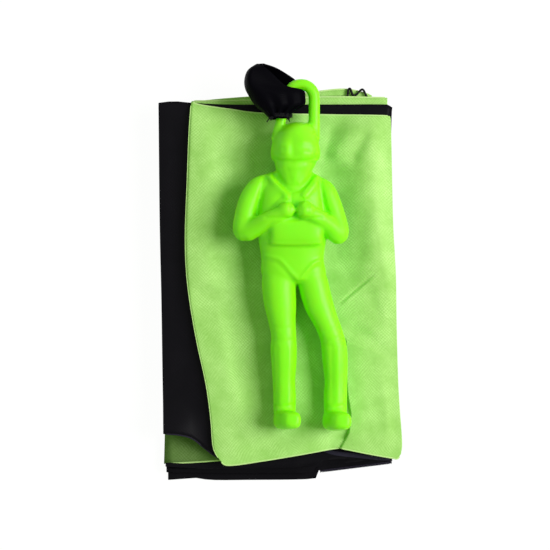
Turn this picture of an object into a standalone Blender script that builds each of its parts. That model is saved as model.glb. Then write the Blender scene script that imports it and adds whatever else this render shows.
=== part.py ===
"""Toy parachute lying packed: eight canopy gores, their shroud lines, a riser strap and a moulded figure.

Metres, +Z up. The origin is under the middle of the whole toy, on the surface that it lies on.
+X runs across the pack and +Y runs along it, from the figure's feet to its head.
"""

import math

import bmesh
import bpy
import numpy as np

# The folded canopy
PACK_WIDTH = 0.0623
PACK_LENGTH = 0.1005
GORE_THICKNESS = 0.00075
GORE_EDGE_ROUND = 0.00035
CLEARANCE = 0.0003
FOLD_RISE = 0.0007
FOLD_RAMP = 0.0030
HEM_WIDTH = 0.0010
HEM_THICKNESS = 0.0007

# The shroud lines
LINE_COUNT = 8
LINE_DIAMETER = 0.0006
LINE_RUNS = 3
LINE_RUN_SPACING = 0.0021
HANK_LENGTH = 0.0780
HANK_SPACING = 0.0066
LEAD_SPACING = 0.00095
LEAD_BEND = 0.0012
LEAD_FAN = 0.0150
LEADS_INSIDE_END = 0.0005

# The riser strap
STRAP_REACH = 0.0059
STRAP_WIDTH = 0.0153
STRAP_LENGTH = 0.0144
STRAP_DEPTH = 0.0100
STRAP_EDGE_ROUND = 0.0014

# The moulded figure
BODY_HEIGHT = 0.0790
RING_SIDE = 0.0051
RING_BELOW_END = 0.0029
RING_RISE = 0.00646
RING_OFF_HEAD = 0.0013
RING_RADIUS = 0.00346
RING_WIRE_RADIUS = 0.0014
RING_CLEARANCE = 0.0004
RING_ROOT_DEPTH = 0.0044
RING_LEFT_SLANT = math.radians(15)
FIGURE_TURN = math.radians(10)

# Heights and places that follow from those sizes
LAYER_PITCH = GORE_THICKNESS + CLEARANCE
LINE_LAYER = LINE_DIAMETER + CLEARANCE
LINES_ABOVE_GORE = 3
SLACK_LEVEL = 4
PACK_CENTRE_Y = -STRAP_REACH / 2
PACK_END_Y = PACK_CENTRE_Y + PACK_LENGTH / 2

# Outlines of the gores as folded: shares of the pack's width and length, from the pack's middle.
# Each edge runs from its lower or left end, and the gores lie in this order from the bottom up.
GORE_EDGE_SHARES = {
    "gore_1_black": {
        "bottom": ((-0.467, -0.497), (-0.311, -0.5), (0.134, -0.499), (0.154, -0.484), (0.467, -0.457)),
        "top": ((-0.397, 0.449), (-0.002, 0.452), (0.409, 0.449)),
        "left": ((-0.467, -0.497), (-0.471, -0.245), (-0.455, 0.112), (-0.397, 0.449)),
        "right": ((0.467, -0.457), (0.459, -0.296), (0.434, 0.112), (0.409, 0.449)),
    },
    "gore_2_green": {
        "bottom": ((-0.455, -0.439), (-0.002, -0.434), (0.434, -0.413)),
        "top": ((-0.348, 0.459), (-0.002, 0.466), (0.265, 0.480), (0.385, 0.470)),
        "left": ((-0.455, -0.439), (-0.459, -0.168), (-0.430, 0.214), (-0.348, 0.459)),
        "right": ((0.434, -0.413), (0.430, -0.168), (0.414, 0.214), (0.385, 0.470)),
    },
    "gore_3_black": {
        "bottom": ((-0.467, -0.485), (-0.208, -0.487), (0.130, -0.485), (0.160, -0.469), (0.455, -0.449)),
        "top": ((-0.414, 0.454), (-0.002, 0.457), (0.418, 0.454)),
        "left": ((-0.467, -0.485), (-0.471, -0.296), (-0.463, 0.087), (-0.414, 0.454)),
        "right": ((0.455, -0.449), (0.447, -0.296), (0.434, 0.087), (0.418, 0.454)),
    },
    "gore_4_green": {
        "bottom": ((-0.459, -0.444), (-0.002, -0.439), (0.438, -0.418)),
        "top": ((-0.360, 0.467), (-0.208, 0.476), (0.080, 0.489), (0.265, 0.500), (0.377, 0.485)),
        "left": ((-0.459, -0.444), (-0.463, -0.168), (-0.438, 0.214), (-0.360, 0.467)),
        "right": ((0.438, -0.418), (0.434, -0.168), (0.418, 0.214), (0.377, 0.485)),
    },
    "gore_5_black": {
        "bottom": ((-0.463, -0.469), (-0.208, -0.474), (0.101, -0.469), (0.204, -0.450), (0.455, -0.452)),
        "top": ((-0.434, 0.439), (-0.002, 0.439), (0.430, 0.436)),
        "left": ((-0.463, -0.469), (-0.467, -0.296), (-0.463, 0.087), (-0.434, 0.439)),
        "right": ((0.455, -0.452), (0.451, -0.296), (0.438, 0.087), (0.430, 0.436)),
    },
    "gore_6_green": {
        "bottom": ((-0.475, -0.459), (-0.278, -0.452), (-0.084, -0.436), (0.245, -0.408), (0.442, -0.429)),
        "top": ((-0.364, 0.463), (-0.126, 0.467), (0.163, 0.479), (0.434, 0.476)),
        "left": ((-0.475, -0.459), (-0.467, -0.041), (-0.447, 0.214), (-0.389, 0.423), (-0.364, 0.463)),
        "right": ((0.442, -0.429), (0.442, -0.296), (0.434, -0.041), (0.434, 0.476)),
    },
    "gore_7_black": {
        "bottom": ((-0.475, -0.383), (-0.422, -0.385), (-0.364, -0.395), (-0.311, -0.421), (-0.255, -0.443),
                   (-0.167, -0.441), (0.080, -0.418), (0.245, -0.401), (0.459, -0.423)),
        "top": ((-0.500, 0.462), (-0.364, 0.462), (-0.208, 0.458), (0.163, 0.457), (0.455, 0.453)),
        "left": ((-0.475, -0.383), (-0.479, -0.245), (-0.486, -0.041), (-0.494, 0.163), (-0.500, 0.462)),
        "right": ((0.459, -0.423), (0.455, -0.296), (0.451, -0.041), (0.451, 0.214), (0.455, 0.453)),
    },
    "gore_8_green": {
        "bottom": ((-0.253, -0.452), (-0.216, -0.463), (-0.076, -0.452), (0.080, -0.436), (0.228, -0.420),
                   (0.270, -0.421), (0.368, -0.436), (0.467, -0.450), (0.496, -0.434)),
        "top": ((-0.370, 0.464), (-0.331, 0.460), (-0.208, 0.449), (-0.076, 0.439), (0.204, 0.434),
                (0.451, 0.430)),
        "left": ((-0.253, -0.452), (-0.278, -0.423), (-0.319, -0.245), (-0.356, -0.130), (-0.385, -0.003),
                 (-0.393, 0.112), (-0.385, 0.265), (-0.377, 0.393), (-0.370, 0.464)),
        "right": ((0.496, -0.434), (0.5, -0.398), (0.484, -0.270), (0.471, -0.117), (0.463, 0.061),
                  (0.455, 0.393), (0.451, 0.430)),
    },
}
# Where the cloth of the top gore laps over itself: its lap line, low to high, and how far up the lap fades out.
LAP_LINE_SHARES = ((0.225, -0.43), (0.262, -0.39), (0.288, -0.34), (0.270, -0.275), (0.262, -0.20))
LAP_FADE_SHARES = (-0.30, -0.20)
# The overlocked hem follows the lowest gore's right-hand lower edge between these shares of the width.
HEM_SPAN_SHARES = (0.158, 0.452)

# Slack line lies between two gores and peeps out at the pack's upper right corner.
# Its route is in shares of the pack's width and length, from the pack's middle.
SLACK_ROUTE_SHARES = (
    (-0.016, 0.4478), (0.032, 0.4458), (0.080, 0.4468), (0.128, 0.4488), (0.177, 0.4478),
    (0.225, 0.4468), (0.257, 0.4498), (0.273, 0.4617), (0.278, 0.4776), (0.283, 0.4935),
    (0.294, 0.4965), (0.300, 0.4876), (0.307, 0.4796), (0.318, 0.4786), (0.327, 0.4866),
    (0.335, 0.4945), (0.343, 0.4955), (0.350, 0.4866), (0.356, 0.4746), (0.360, 0.4617),
    (0.360, 0.4478),
)

# The strap's outline: shares of its width and length from its middle.
STRAP_OUTLINE_SHARES = (
    (-0.500, 0.206), (-0.455, 0.380), (-0.318, 0.488), (-0.152, 0.497), (0.020, 0.425), (0.160, 0.362),
    (0.343, 0.226), (0.420, 0.110), (0.482, -0.006), (0.500, -0.198), (0.380, -0.285), (0.254, -0.373),
    (0.225, -0.487), (-0.020, -0.487), (-0.085, -0.475), (-0.207, -0.345), (-0.334, -0.238),
    (-0.408, -0.102), (-0.491, 0.053),
)
# Its puffed section: the share of the depth, and how much of the edge's rounding is taken off there.
STRAP_LEVEL_SHARES = ((0.0, 1.0), (0.04, 0.5), (0.15, 0.12), (0.50, 0.0), (0.85, 0.12), (0.96, 0.5), (1.0, 1.0))
# The corners of the place where the ring's arch lies over the strap: shares of the ring's radius from its middle.
STRAP_NOTCH_SHARES = ((-1.22, 0.88), (0.19, 0.46), (3.0, 0.46), (3.0, 4.4), (-0.6, 4.4))

# The ring's level is that of the middle of the head, as a share of the body's height.
RING_LEVEL_SHARE = 0.080
# The body's sections, as shares of the body's height from the top of the helmet:
# down, to the side, half width, half depth, height of the middle.
TORSO_SHARES = (
    (0.152, -0.010, 0.046, 0.022, 0.072), (0.163, -0.014, 0.080, 0.036, 0.071), (0.178, -0.010, 0.098, 0.047, 0.071),
    (0.200, -0.006, 0.103, 0.058, 0.071), (0.229, -0.012, 0.105, 0.064, 0.073), (0.278, -0.015, 0.107, 0.068, 0.074),
    (0.326, -0.011, 0.107, 0.067, 0.074), (0.375, -0.009, 0.106, 0.064, 0.071), (0.414, -0.009, 0.101, 0.060, 0.067),
    (0.446, -0.009, 0.101, 0.058, 0.064), (0.479, -0.006, 0.105, 0.056, 0.061), (0.497, -0.002, 0.092, 0.050, 0.058),
    (0.512, 0.004, 0.055, 0.036, 0.056),
)
HELMET_SHARES = (
    (-0.004, 0.011, 0.016, 0.016, 0.082), (0.003, 0.010, 0.034, 0.036, 0.082), (0.016, 0.007, 0.051, 0.054, 0.082),
    (0.037, 0.003, 0.065, 0.068, 0.081), (0.063, 0.000, 0.075, 0.077, 0.080), (0.089, 0.000, 0.080, 0.080, 0.080),
    (0.109, 0.000, 0.079, 0.080, 0.080), (0.119, 0.000, 0.076, 0.077, 0.079),
)
FACE_SHARES = (
    (0.083, 0.000, 0.058, 0.060, 0.080), (0.122, 0.000, 0.067, 0.066, 0.081), (0.141, -0.002, 0.065, 0.064, 0.084),
    (0.158, -0.002, 0.057, 0.058, 0.090), (0.178, -0.002, 0.041, 0.048, 0.097), (0.195, -0.002, 0.025, 0.034, 0.104),
    (0.205, -0.002, 0.010, 0.016, 0.108),
)
LEFT_LEG_SHARES = (
    (0.460, -0.050, 0.048, 0.046, 0.059), (0.498, -0.052, 0.056, 0.054, 0.059), (0.531, -0.053, 0.055, 0.055, 0.058),
    (0.586, -0.049, 0.052, 0.052, 0.056), (0.635, -0.044, 0.045, 0.047, 0.054), (0.683, -0.038, 0.041, 0.044, 0.053),
    (0.726, -0.038, 0.043, 0.044, 0.050), (0.771, -0.037, 0.041, 0.043, 0.047), (0.830, -0.037, 0.037, 0.038, 0.043),
    (0.878, -0.035, 0.037, 0.037, 0.041), (0.930, -0.035, 0.036, 0.036, 0.040), (0.955, -0.033, 0.033, 0.032, 0.040),
)
RIGHT_LEG_SHARES = (
    (0.460, 0.042, 0.044, 0.044, 0.059), (0.498, 0.054, 0.049, 0.051, 0.059), (0.531, 0.061, 0.050, 0.052, 0.058),
    (0.567, 0.070, 0.050, 0.051, 0.057), (0.612, 0.085, 0.048, 0.049, 0.056), (0.657, 0.106, 0.043, 0.046, 0.054),
    (0.700, 0.121, 0.041, 0.044, 0.052), (0.735, 0.126, 0.042, 0.044, 0.050), (0.787, 0.129, 0.040, 0.042, 0.046),
    (0.830, 0.131, 0.037, 0.038, 0.043), (0.878, 0.129, 0.038, 0.037, 0.041), (0.933, 0.129, 0.037, 0.036, 0.040),
    (0.955, 0.129, 0.033, 0.032, 0.040),
)
# The feet stand up from the heel to the toe: height, to the side, down, half width, half length.
LEFT_FOOT_SHARES = (
    (0.003, -0.035, 0.948, 0.024, 0.018), (0.022, -0.035, 0.948, 0.036, 0.028), (0.070, -0.032, 0.947, 0.037, 0.029),
    (0.100, -0.022, 0.945, 0.035, 0.028), (0.122, -0.013, 0.943, 0.029, 0.025), (0.134, -0.010, 0.942, 0.017, 0.015),
)
RIGHT_FOOT_SHARES = (
    (0.003, 0.125, 0.950, 0.024, 0.018), (0.022, 0.125, 0.951, 0.037, 0.029), (0.070, 0.128, 0.950, 0.038, 0.030),
    (0.100, 0.138, 0.949, 0.036, 0.029), (0.122, 0.147, 0.947, 0.031, 0.026), (0.134, 0.151, 0.946, 0.018, 0.016),
)
# Arms, hands and harness are round: to the side, down, height of the middle, radius.
LIMB_SHARES = {
    "left_upper_arm": ((-0.110, 0.186, 0.078, 0.020), (-0.128, 0.200, 0.082, 0.032), (-0.148, 0.245, 0.085, 0.034),
                       (-0.161, 0.297, 0.087, 0.036), (-0.165, 0.338, 0.091, 0.037), (-0.164, 0.362, 0.093, 0.029),
                       (-0.163, 0.377, 0.094, 0.012)),
    "left_forearm": ((-0.172, 0.352, 0.092, 0.026), (-0.155, 0.346, 0.096, 0.035), (-0.122, 0.330, 0.117, 0.030),
                     (-0.083, 0.307, 0.141, 0.025), (-0.044, 0.291, 0.154, 0.023)),
    "left_hand": ((-0.054, 0.292, 0.155, 0.012), (-0.046, 0.289, 0.157, 0.024), (-0.031, 0.284, 0.158, 0.029),
                  (-0.018, 0.281, 0.157, 0.024), (-0.010, 0.279, 0.155, 0.012)),
    "right_upper_arm": ((0.078, 0.190, 0.078, 0.020), (0.096, 0.204, 0.082, 0.031), (0.115, 0.245, 0.085, 0.033),
                        (0.129, 0.297, 0.087, 0.035), (0.134, 0.342, 0.091, 0.037), (0.135, 0.368, 0.093, 0.029),
                        (0.135, 0.383, 0.094, 0.012)),
    "right_forearm": ((0.148, 0.358, 0.092, 0.026), (0.131, 0.347, 0.096, 0.035), (0.106, 0.326, 0.117, 0.030),
                      (0.073, 0.304, 0.141, 0.026), (0.044, 0.289, 0.155, 0.024)),
    "right_hand": ((0.056, 0.290, 0.156, 0.013), (0.047, 0.286, 0.158, 0.026), (0.030, 0.281, 0.159, 0.031),
                   (0.015, 0.279, 0.157, 0.026), (0.006, 0.278, 0.155, 0.013)),
    "left_harness": ((-0.080, 0.172, 0.092, 0.014), (-0.068, 0.192, 0.112, 0.014), (-0.024, 0.246, 0.135, 0.013)),
    "right_harness": ((0.072, 0.178, 0.094, 0.014), (0.058, 0.200, 0.116, 0.014), (0.024, 0.244, 0.135, 0.013)),
    "left_leg_strap": ((-0.084, 0.434, 0.094, 0.012), (-0.053, 0.440, 0.108, 0.012), (0.012, 0.498, 0.104, 0.013)),
    "right_leg_strap": ((0.078, 0.442, 0.094, 0.012), (0.057, 0.452, 0.106, 0.012), (0.014, 0.498, 0.104, 0.013)),
    "left_goggle": ((-0.044, 0.058, 0.124, 0.013), (-0.045, 0.070, 0.129, 0.022), (-0.045, 0.088, 0.130, 0.023),
                    (-0.043, 0.104, 0.127, 0.014)),
    "right_goggle": ((0.036, 0.052, 0.122, 0.014), (0.038, 0.066, 0.127, 0.026), (0.038, 0.086, 0.129, 0.028),
                     (0.036, 0.106, 0.125, 0.018)),
}
NECK_SHARES = ((0.150, 0.000, 0.042, 0.042, 0.072), (0.200, 0.000, 0.046, 0.044, 0.070))
CHEST_PACK_SHARES = (
    (0.318, 0.003, 0.080, 0.030, 0.118), (0.324, 0.003, 0.086, 0.037, 0.119), (0.388, 0.000, 0.084, 0.038, 0.117),
    (0.396, 0.000, 0.078, 0.030, 0.116),
)

BLACK_CLOTH = ("black_cloth", (0.006, 0.006, 0.007), 0.85)
GREEN_CLOTH = ("green_cloth", (0.33, 0.69, 0.15), 0.8)
BLACK_RIBBON = ("black_ribbon", (0.004, 0.004, 0.006), 0.75)
BLACK_CORD = ("black_cord", (0.006, 0.006, 0.007), 0.8)
GREEN_PLASTIC = ("green_plastic", (0.24, 0.92, 0.02), 0.35)

PACK_COLUMNS = 6
PACK_ROWS = 10
TOP_COLUMNS = 18
TOP_ROWS = 27
ROUND_SIDES = 12
BODY_SIDES = 16
LINE_SIDE_STEPS = 2


def material(finish):
    """The material of a finish, made once."""
    name, colour, roughness = finish
    found = bpy.data.materials.get(name)
    if found:
        return found
    made = bpy.data.materials.new(name)
    made.use_nodes = True
    shader = made.node_tree.nodes["Principled BSDF"]
    shader.inputs["Base Color"].default_value = (*colour, 1)
    shader.inputs["Roughness"].default_value = roughness
    shader.inputs["Metallic"].default_value = 0
    return made


def add_object(name, points, faces, finish, smooth=True):
    """A closed mesh with its faces turned outwards."""
    mesh = bpy.data.meshes.new(name)
    mesh.from_pydata([tuple(point) for point in points], [], faces)
    shell = bmesh.new()
    shell.from_mesh(mesh)
    bmesh.ops.recalc_face_normals(shell, faces=shell.faces)
    shell.to_mesh(mesh)
    shell.free()
    if smooth:
        mesh.shade_smooth()
        mesh.set_sharp_from_angle(angle=math.radians(50))
    mesh.materials.append(material(finish))
    made = bpy.data.objects.new(name, mesh)
    bpy.context.scene.collection.objects.link(made)
    return made


def smooth_curve(points, per_span):
    """Points on a smooth curve through the given points, with each tangent along the line between its neighbours."""
    points = np.asarray(points, float)
    tangents = np.gradient(points, axis=0)
    t = np.linspace(0, 1, per_span, endpoint=False)[:, None]
    spans = []
    for start, end, leave, arrive in zip(points[:-1], points[1:], tangents[:-1], tangents[1:]):
        spans.append(
            start * (2 * t**3 - 3 * t**2 + 1)
            + end * (3 * t**2 - 2 * t**3)
            + leave * (t**3 - 2 * t**2 + t)
            + arrive * (t**3 - t**2)
        )
    return np.concatenate([*spans, points[-1:]])


def at_shares(points, shares):
    """The points at the given shares of a line's length."""
    steps = np.linalg.norm(np.diff(points, axis=0), axis=1)
    along = np.concatenate([[0], np.cumsum(steps)]) / steps.sum()
    return np.stack([np.interp(shares, along, points[:, axis]) for axis in range(points.shape[1])], axis=1)


def gore_patch(edges, across, along):
    """The grid of plan points between four bowed edges: each pair of edges is blended, less the corners' own share."""
    size = np.array([PACK_WIDTH, PACK_LENGTH])
    centre = np.array([0, PACK_CENTRE_Y])
    bottom, top = (at_shares(smooth_curve(edges[side], 5), across) for side in ("bottom", "top"))
    left, right = (at_shares(smooth_curve(edges[side], 5), along) for side in ("left", "right"))
    u = across[None, :, None]
    v = along[:, None, None]
    corners = (
        (1 - u) * (1 - v) * bottom[0] + u * (1 - v) * bottom[-1] + (1 - u) * v * top[0] + u * v * top[-1]
    )
    patch = (1 - v) * bottom[None] + v * top[None] + (1 - u) * left[:, None] + u * right[:, None] - corners
    return patch * size + centre


def lap_relief(plan):
    """Height of the top gore's lap at each plan point: a step up to the right of the lap line, which fades upwards."""
    share_x = plan[..., 0] / PACK_WIDTH
    share_y = (plan[..., 1] - PACK_CENTRE_Y) / PACK_LENGTH
    line = np.array(LAP_LINE_SHARES)
    line_x = np.interp(share_y, line[:, 1], line[:, 0])
    step = np.clip((share_x - line_x) * PACK_WIDTH / FOLD_RAMP + 0.5, 0, 1)
    fade = np.clip((LAP_FADE_SHARES[1] - share_y) / (LAP_FADE_SHARES[1] - LAP_FADE_SHARES[0]), 0, 1)
    return FOLD_RISE * step**2 * (3 - 2 * step) * fade**2 * (3 - 2 * fade)


def layer_floor(index):
    """The height of the underside of a gore, counted from the bottom one."""
    lines_below = LINE_LAYER if index >= LINES_ABOVE_GORE else 0
    return index * LAYER_PITCH + lines_below


def make_gore(name, index, columns, rows, relief):
    """One folded gore: two grids that meet at a rounded edge all round."""
    edge_u = GORE_EDGE_ROUND / PACK_WIDTH
    edge_v = GORE_EDGE_ROUND / PACK_LENGTH
    across = np.concatenate([[0], np.linspace(edge_u, 1 - edge_u, columns + 1), [1]])
    along = np.concatenate([[0], np.linspace(edge_v, 1 - edge_v, rows + 1), [1]])
    plan = gore_patch(GORE_EDGE_SHARES[name], across, along)
    high, wide = plan.shape[:2]
    floor = layer_floor(index)
    upper = floor + GORE_THICKNESS + relief(plan)
    points = [(x, y, z) for (x, y), z in zip(plan.reshape(-1, 2), upper.reshape(-1))]
    number = np.arange(high * wide).reshape(high, wide)
    below = number.copy()
    inner = [(row, column) for row in range(1, high - 1) for column in range(1, wide - 1)]
    for row, column in inner:
        below[row, column] = len(points)
        points.append((*plan[row, column], floor))
    for row in range(high):
        for column in range(wide):
            if row in (0, high - 1) or column in (0, wide - 1):
                x, y, top = points[number[row, column]]
                points[number[row, column]] = (x, y, (floor + top) / 2)
    faces = []
    for row in range(high - 1):
        for column in range(wide - 1):
            corners = ((row, column), (row, column + 1), (row + 1, column + 1), (row + 1, column))
            faces.append([int(number[corner]) for corner in corners])
            faces.append([int(below[corner]) for corner in reversed(corners)])
    finish = BLACK_CLOTH if name.endswith("black") else GREEN_CLOTH
    return add_object(name, points, faces, finish)


def make_hem():
    """The overlocked hem: a flat rounded bar just outside the lowest gore's right-hand lower edge."""
    edge = smooth_curve(GORE_EDGE_SHARES["gore_1_black"]["bottom"], 12)
    span = edge[(edge[:, 0] > HEM_SPAN_SHARES[0]) & (edge[:, 0] < HEM_SPAN_SHARES[1])]
    middle = at_shares(span * (PACK_WIDTH, PACK_LENGTH) + (0, PACK_CENTRE_Y), np.linspace(0, 1, 12))
    heading = np.gradient(middle, axis=0)
    heading /= np.linalg.norm(heading, axis=1)[:, None]
    outward = np.stack([heading[:, 1], -heading[:, 0]], axis=1)
    middle += outward * (HEM_WIDTH / 2 + CLEARANCE)
    centres = np.column_stack([middle, np.full(len(middle), HEM_THICKNESS / 2)])
    across = np.column_stack([outward, np.zeros(len(middle))])
    halves = np.full(len(middle), HEM_WIDTH / 2)
    deep = np.full(len(middle), HEM_THICKNESS / 2)
    return make_loft("skirt_hem", centres, across, halves, deep, 8, 3.5, BLACK_CLOTH)


def make_loft(name, centres, across, half_across, half_up, sides, power, finish):
    """A closed solid of squarish rings: each ring lies across its direction, and its two ends are capped."""
    turn = (np.arange(sides) + 0.5) * 2 * math.pi / sides
    cosine = np.sign(np.cos(turn)) * np.abs(np.cos(turn)) ** (2 / power)
    sine = np.sign(np.sin(turn)) * np.abs(np.sin(turn)) ** (2 / power)
    heading = np.gradient(centres, axis=0)
    up = np.cross(across, heading)
    up /= np.linalg.norm(up, axis=1)[:, None]
    rings = (
        centres[:, None]
        + across[:, None] * (half_across[:, None] * cosine[None])[..., None]
        + up[:, None] * (half_up[:, None] * sine[None])[..., None]
    )
    count = len(centres)
    faces = [list(range(sides))[::-1], list(range((count - 1) * sides, count * sides))]
    for ring in range(count - 1):
        for side in range(sides):
            beside = (side + 1) % sides
            here = ring * sides
            faces.append([here + side, here + beside, here + sides + beside, here + sides + side])
    return add_object(name, rings.reshape(-1, 3), faces, finish)


def cord_curve(name, route):
    """A round cord with flat ends along a route."""
    curve = bpy.data.curves.new(name, "CURVE")
    curve.dimensions = "3D"
    curve.bevel_depth = LINE_DIAMETER / 2
    curve.bevel_resolution = LINE_SIDE_STEPS
    curve.use_fill_caps = True
    spline = curve.splines.new("POLY")
    spline.points.add(len(route) - 1)
    for point, place in zip(spline.points, route):
        point.co = (*place, 1)
    curve.materials.append(material(BLACK_CORD))
    made = bpy.data.objects.new(name, curve)
    bpy.context.scene.collection.objects.link(made)
    return made


def line_side(index, spacing):
    """How far to the side of the middle one of the shroud lines lies."""
    return (index - (LINE_COUNT - 1) / 2) * spacing


def hank_top():
    """Where the stowed lines end, short of the pack's upper end."""
    return LEAD_TOP_Y - LEAD_FAN


def line_height():
    """Height of the middle of the stowed lines, in the layer between two gores."""
    return layer_floor(LINES_ABOVE_GORE) - CLEARANCE - LINE_DIAMETER / 2


def make_hank(index):
    """One stowed shroud line: the flat shape that its runs to and fro fill, with round ends."""
    width = (LINE_RUNS - 1) * LINE_RUN_SPACING + LINE_DIAMETER
    bend = (LINE_RUN_SPACING + LINE_DIAMETER) / 2
    x = line_side(index, HANK_SPACING)
    low = line_height() - LINE_DIAMETER / 2
    top = hank_top()
    quarter = np.linspace(0, math.pi / 2, 4)
    corner = np.stack([np.cos(quarter), np.sin(quarter)], axis=1) * bend
    inset = np.array([width / 2 - bend, HANK_LENGTH / 2 - bend])
    outline = []
    for sign, reverse in (((1, 1), False), ((-1, 1), True), ((-1, -1), False), ((1, -1), True)):
        arc = (corner + inset) * sign
        outline.extend(arc[::-1] if reverse else arc)
    outline = np.array(outline) + (x, top - HANK_LENGTH / 2)
    count = len(outline)
    points = [(*place, z) for z in (low, low + LINE_DIAMETER) for place in outline]
    faces = [list(range(count))[::-1], list(range(count, 2 * count))]
    for corner_index in range(count):
        beside = (corner_index + 1) % count
        faces.append([corner_index, beside, count + beside, count + corner_index])
    return add_object(f"shroud_line_{index + 1}", points, faces, BLACK_CORD, smooth=False)


def lead_route(index, strap_floor):
    """One line from its hank to the strap: it closes in on its neighbours, leaves the pack and turns up."""
    start_x = line_side(index, HANK_SPACING)
    end_x = STRAP_CENTRE[0] + line_side(index, LEAD_SPACING)
    z = line_height()
    start_y = hank_top() + CLEARANCE
    bend_y = LEAD_TOP_Y - LEAD_BEND
    share = np.linspace(0, 1, 12)
    sway = share**2 * (3 - 2 * share)
    fan = np.stack(
        [start_x + (end_x - start_x) * sway, start_y + (bend_y - start_y) * share, np.full(12, z)], axis=1
    )
    turn = np.linspace(0, math.pi / 2, 5)[1:]
    arc = np.stack(
        [np.full(4, end_x), bend_y + LEAD_BEND * np.sin(turn), z + LEAD_BEND * (1 - np.cos(turn))], axis=1
    )
    rise = np.linspace(z + LEAD_BEND, strap_floor - CLEARANCE, 4)[1:]
    climb = np.stack([np.full(3, end_x), np.full(3, LEAD_TOP_Y), rise], axis=1)
    return np.concatenate([fan, arc, climb])


def make_slack():
    """The loop of slack line that peeps out between two gores at the pack's corner."""
    plan = smooth_curve(SLACK_ROUTE_SHARES, 3) * (PACK_WIDTH, PACK_LENGTH) + (0, PACK_CENTRE_Y)
    height = layer_floor(SLACK_LEVEL) + GORE_THICKNESS / 2
    return cord_curve("line_slack", np.column_stack([plan, np.full(len(plan), height)]))


def prism(name, outline, low, high, finish):
    """A solid with the given plan outline between two heights."""
    count = len(outline)
    points = [(*place, z) for z in (low, high) for place in outline]
    faces = [list(range(count))[::-1], list(range(count, 2 * count))]
    for corner in range(count):
        beside = (corner + 1) % count
        faces.append([corner, beside, count + beside, count + corner])
    return add_object(name, points, faces, finish, smooth=False)


def helper(made):
    """Marks a cutter or a form that only shapes another piece."""
    made.hide_render = True
    made.display_type = "WIRE"
    return made


def subtract(piece, cutter):
    """Takes the cutter's shape out of a piece."""
    cut = piece.modifiers.new(cutter.name, "BOOLEAN")
    cut.operation = "DIFFERENCE"
    cut.solver = "EXACT"
    cut.object = helper(cutter)


def ring_passage():
    """Plan outline, from the ring's middle, of all that the ring sweeps as the figure turns, with clearance."""
    outer = RING_RADIUS + RING_WIRE_RADIUS + RING_CLEARANCE
    inner = RING_RADIUS - RING_WIRE_RADIUS - RING_CLEARANCE
    reach = STRAP_LENGTH
    arch = np.linspace(0, math.pi, 15)
    over = np.stack([np.cos(arch), np.sin(arch)], axis=1)
    right_out = (outer + reach * math.tan(FIGURE_TURN), -reach)
    left_out = (-outer - reach * math.tan(RING_LEFT_SLANT + FIGURE_TURN), -reach)
    left_in = (-inner - reach * math.tan(RING_LEFT_SLANT - FIGURE_TURN), -reach)
    right_in = (inner - reach * math.tan(FIGURE_TURN), -reach)
    return np.concatenate([[right_out], over * outer, [left_out, left_in], (over * inner)[::-1], [right_in]])


def make_strap(floor):
    """The riser strap: a puffed loop of ribbon round the ring's left leg, open to the right under the ring's arch.

    Its origin is on the line that it lifts about, over the ends of the leads.
    """
    outline = np.array(STRAP_OUTLINE_SHARES) * (STRAP_WIDTH, STRAP_LENGTH)
    heading = np.roll(outline, -1, axis=0) - np.roll(outline, 1, axis=0)
    heading /= np.linalg.norm(heading, axis=1)[:, None]
    inward = np.stack([heading[:, 1], -heading[:, 0]], axis=1)
    rings = []
    for height, inset in STRAP_LEVEL_SHARES:
        ring = outline + inward * inset * STRAP_EDGE_ROUND
        rings.append(np.column_stack([ring, np.full(len(ring), height * STRAP_DEPTH)]))
    count = len(outline)
    hinge = np.array((STRAP_CENTRE[0], HINGE_Y, floor))
    points = np.concatenate(rings) + (*STRAP_CENTRE, floor) - hinge
    last = (len(rings) - 1) * count
    faces = [list(range(count))[::-1], list(range(last, last + count))]
    for level in range(len(rings) - 1):
        for corner in range(count):
            beside = (corner + 1) % count
            here = level * count
            faces.append([here + corner, here + beside, here + count + beside, here + count + corner])
    strap = add_object("riser_strap", points, faces, BLACK_RIBBON)
    strap.location = hinge
    ring_height = floor + RING_HEIGHT
    half = RING_WIRE_RADIUS + RING_CLEARANCE
    passage = prism("ring_passage", ring_passage() + RING_CENTRE, ring_height - half, ring_height + half, BLACK_RIBBON)
    notch_outline = np.array(STRAP_NOTCH_SHARES) * RING_RADIUS + RING_CENTRE
    notch = prism("arch_notch", notch_outline, ring_height - half, floor + 2 * STRAP_DEPTH, BLACK_RIBBON)
    subtract(strap, passage)
    subtract(strap, notch)
    return strap


def body_point(side, down, height):
    """A place on the figure, from its ring's middle and its back, given as shares of its height."""
    return (side * BODY_HEIGHT - RING_OFF_HEAD, -RING_RISE - down * BODY_HEIGHT, height * BODY_HEIGHT)


def body_loft(name, rows, power, sides=BODY_SIDES):
    """A length of the body along its height, from its sections."""
    down, side, wide, deep, height = np.array(rows).T
    centres = np.stack(body_point(side, down, height), axis=1)
    across = np.tile((1.0, 0, 0), (len(rows), 1))
    return make_loft(name, centres, across, wide * BODY_HEIGHT, deep * BODY_HEIGHT, sides, power, GREEN_PLASTIC)


def foot_loft(name, rows):
    """A foot, from the heel at the figure's back up to the toe."""
    height, side, down, wide, long = np.array(rows).T
    centres = np.stack(body_point(side, down, height), axis=1)
    across = np.tile((1.0, 0, 0), (len(rows), 1))
    return make_loft(
        name, centres, across, wide * BODY_HEIGHT, long * BODY_HEIGHT, ROUND_SIDES, 2.4, GREEN_PLASTIC
    )


def limb(name, rows):
    """A round tapering form through the given middles."""
    side, down, height, radius = np.array(rows).T
    centres = np.stack(body_point(side, down, height), axis=1)
    heading = np.gradient(centres, axis=0)
    across = np.cross(heading, (0, 0, 1.0))
    across /= np.linalg.norm(across, axis=1)[:, None]
    reach = radius * BODY_HEIGHT
    return make_loft(name, centres, across, reach, reach, ROUND_SIDES, 2, GREEN_PLASTIC)


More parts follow.
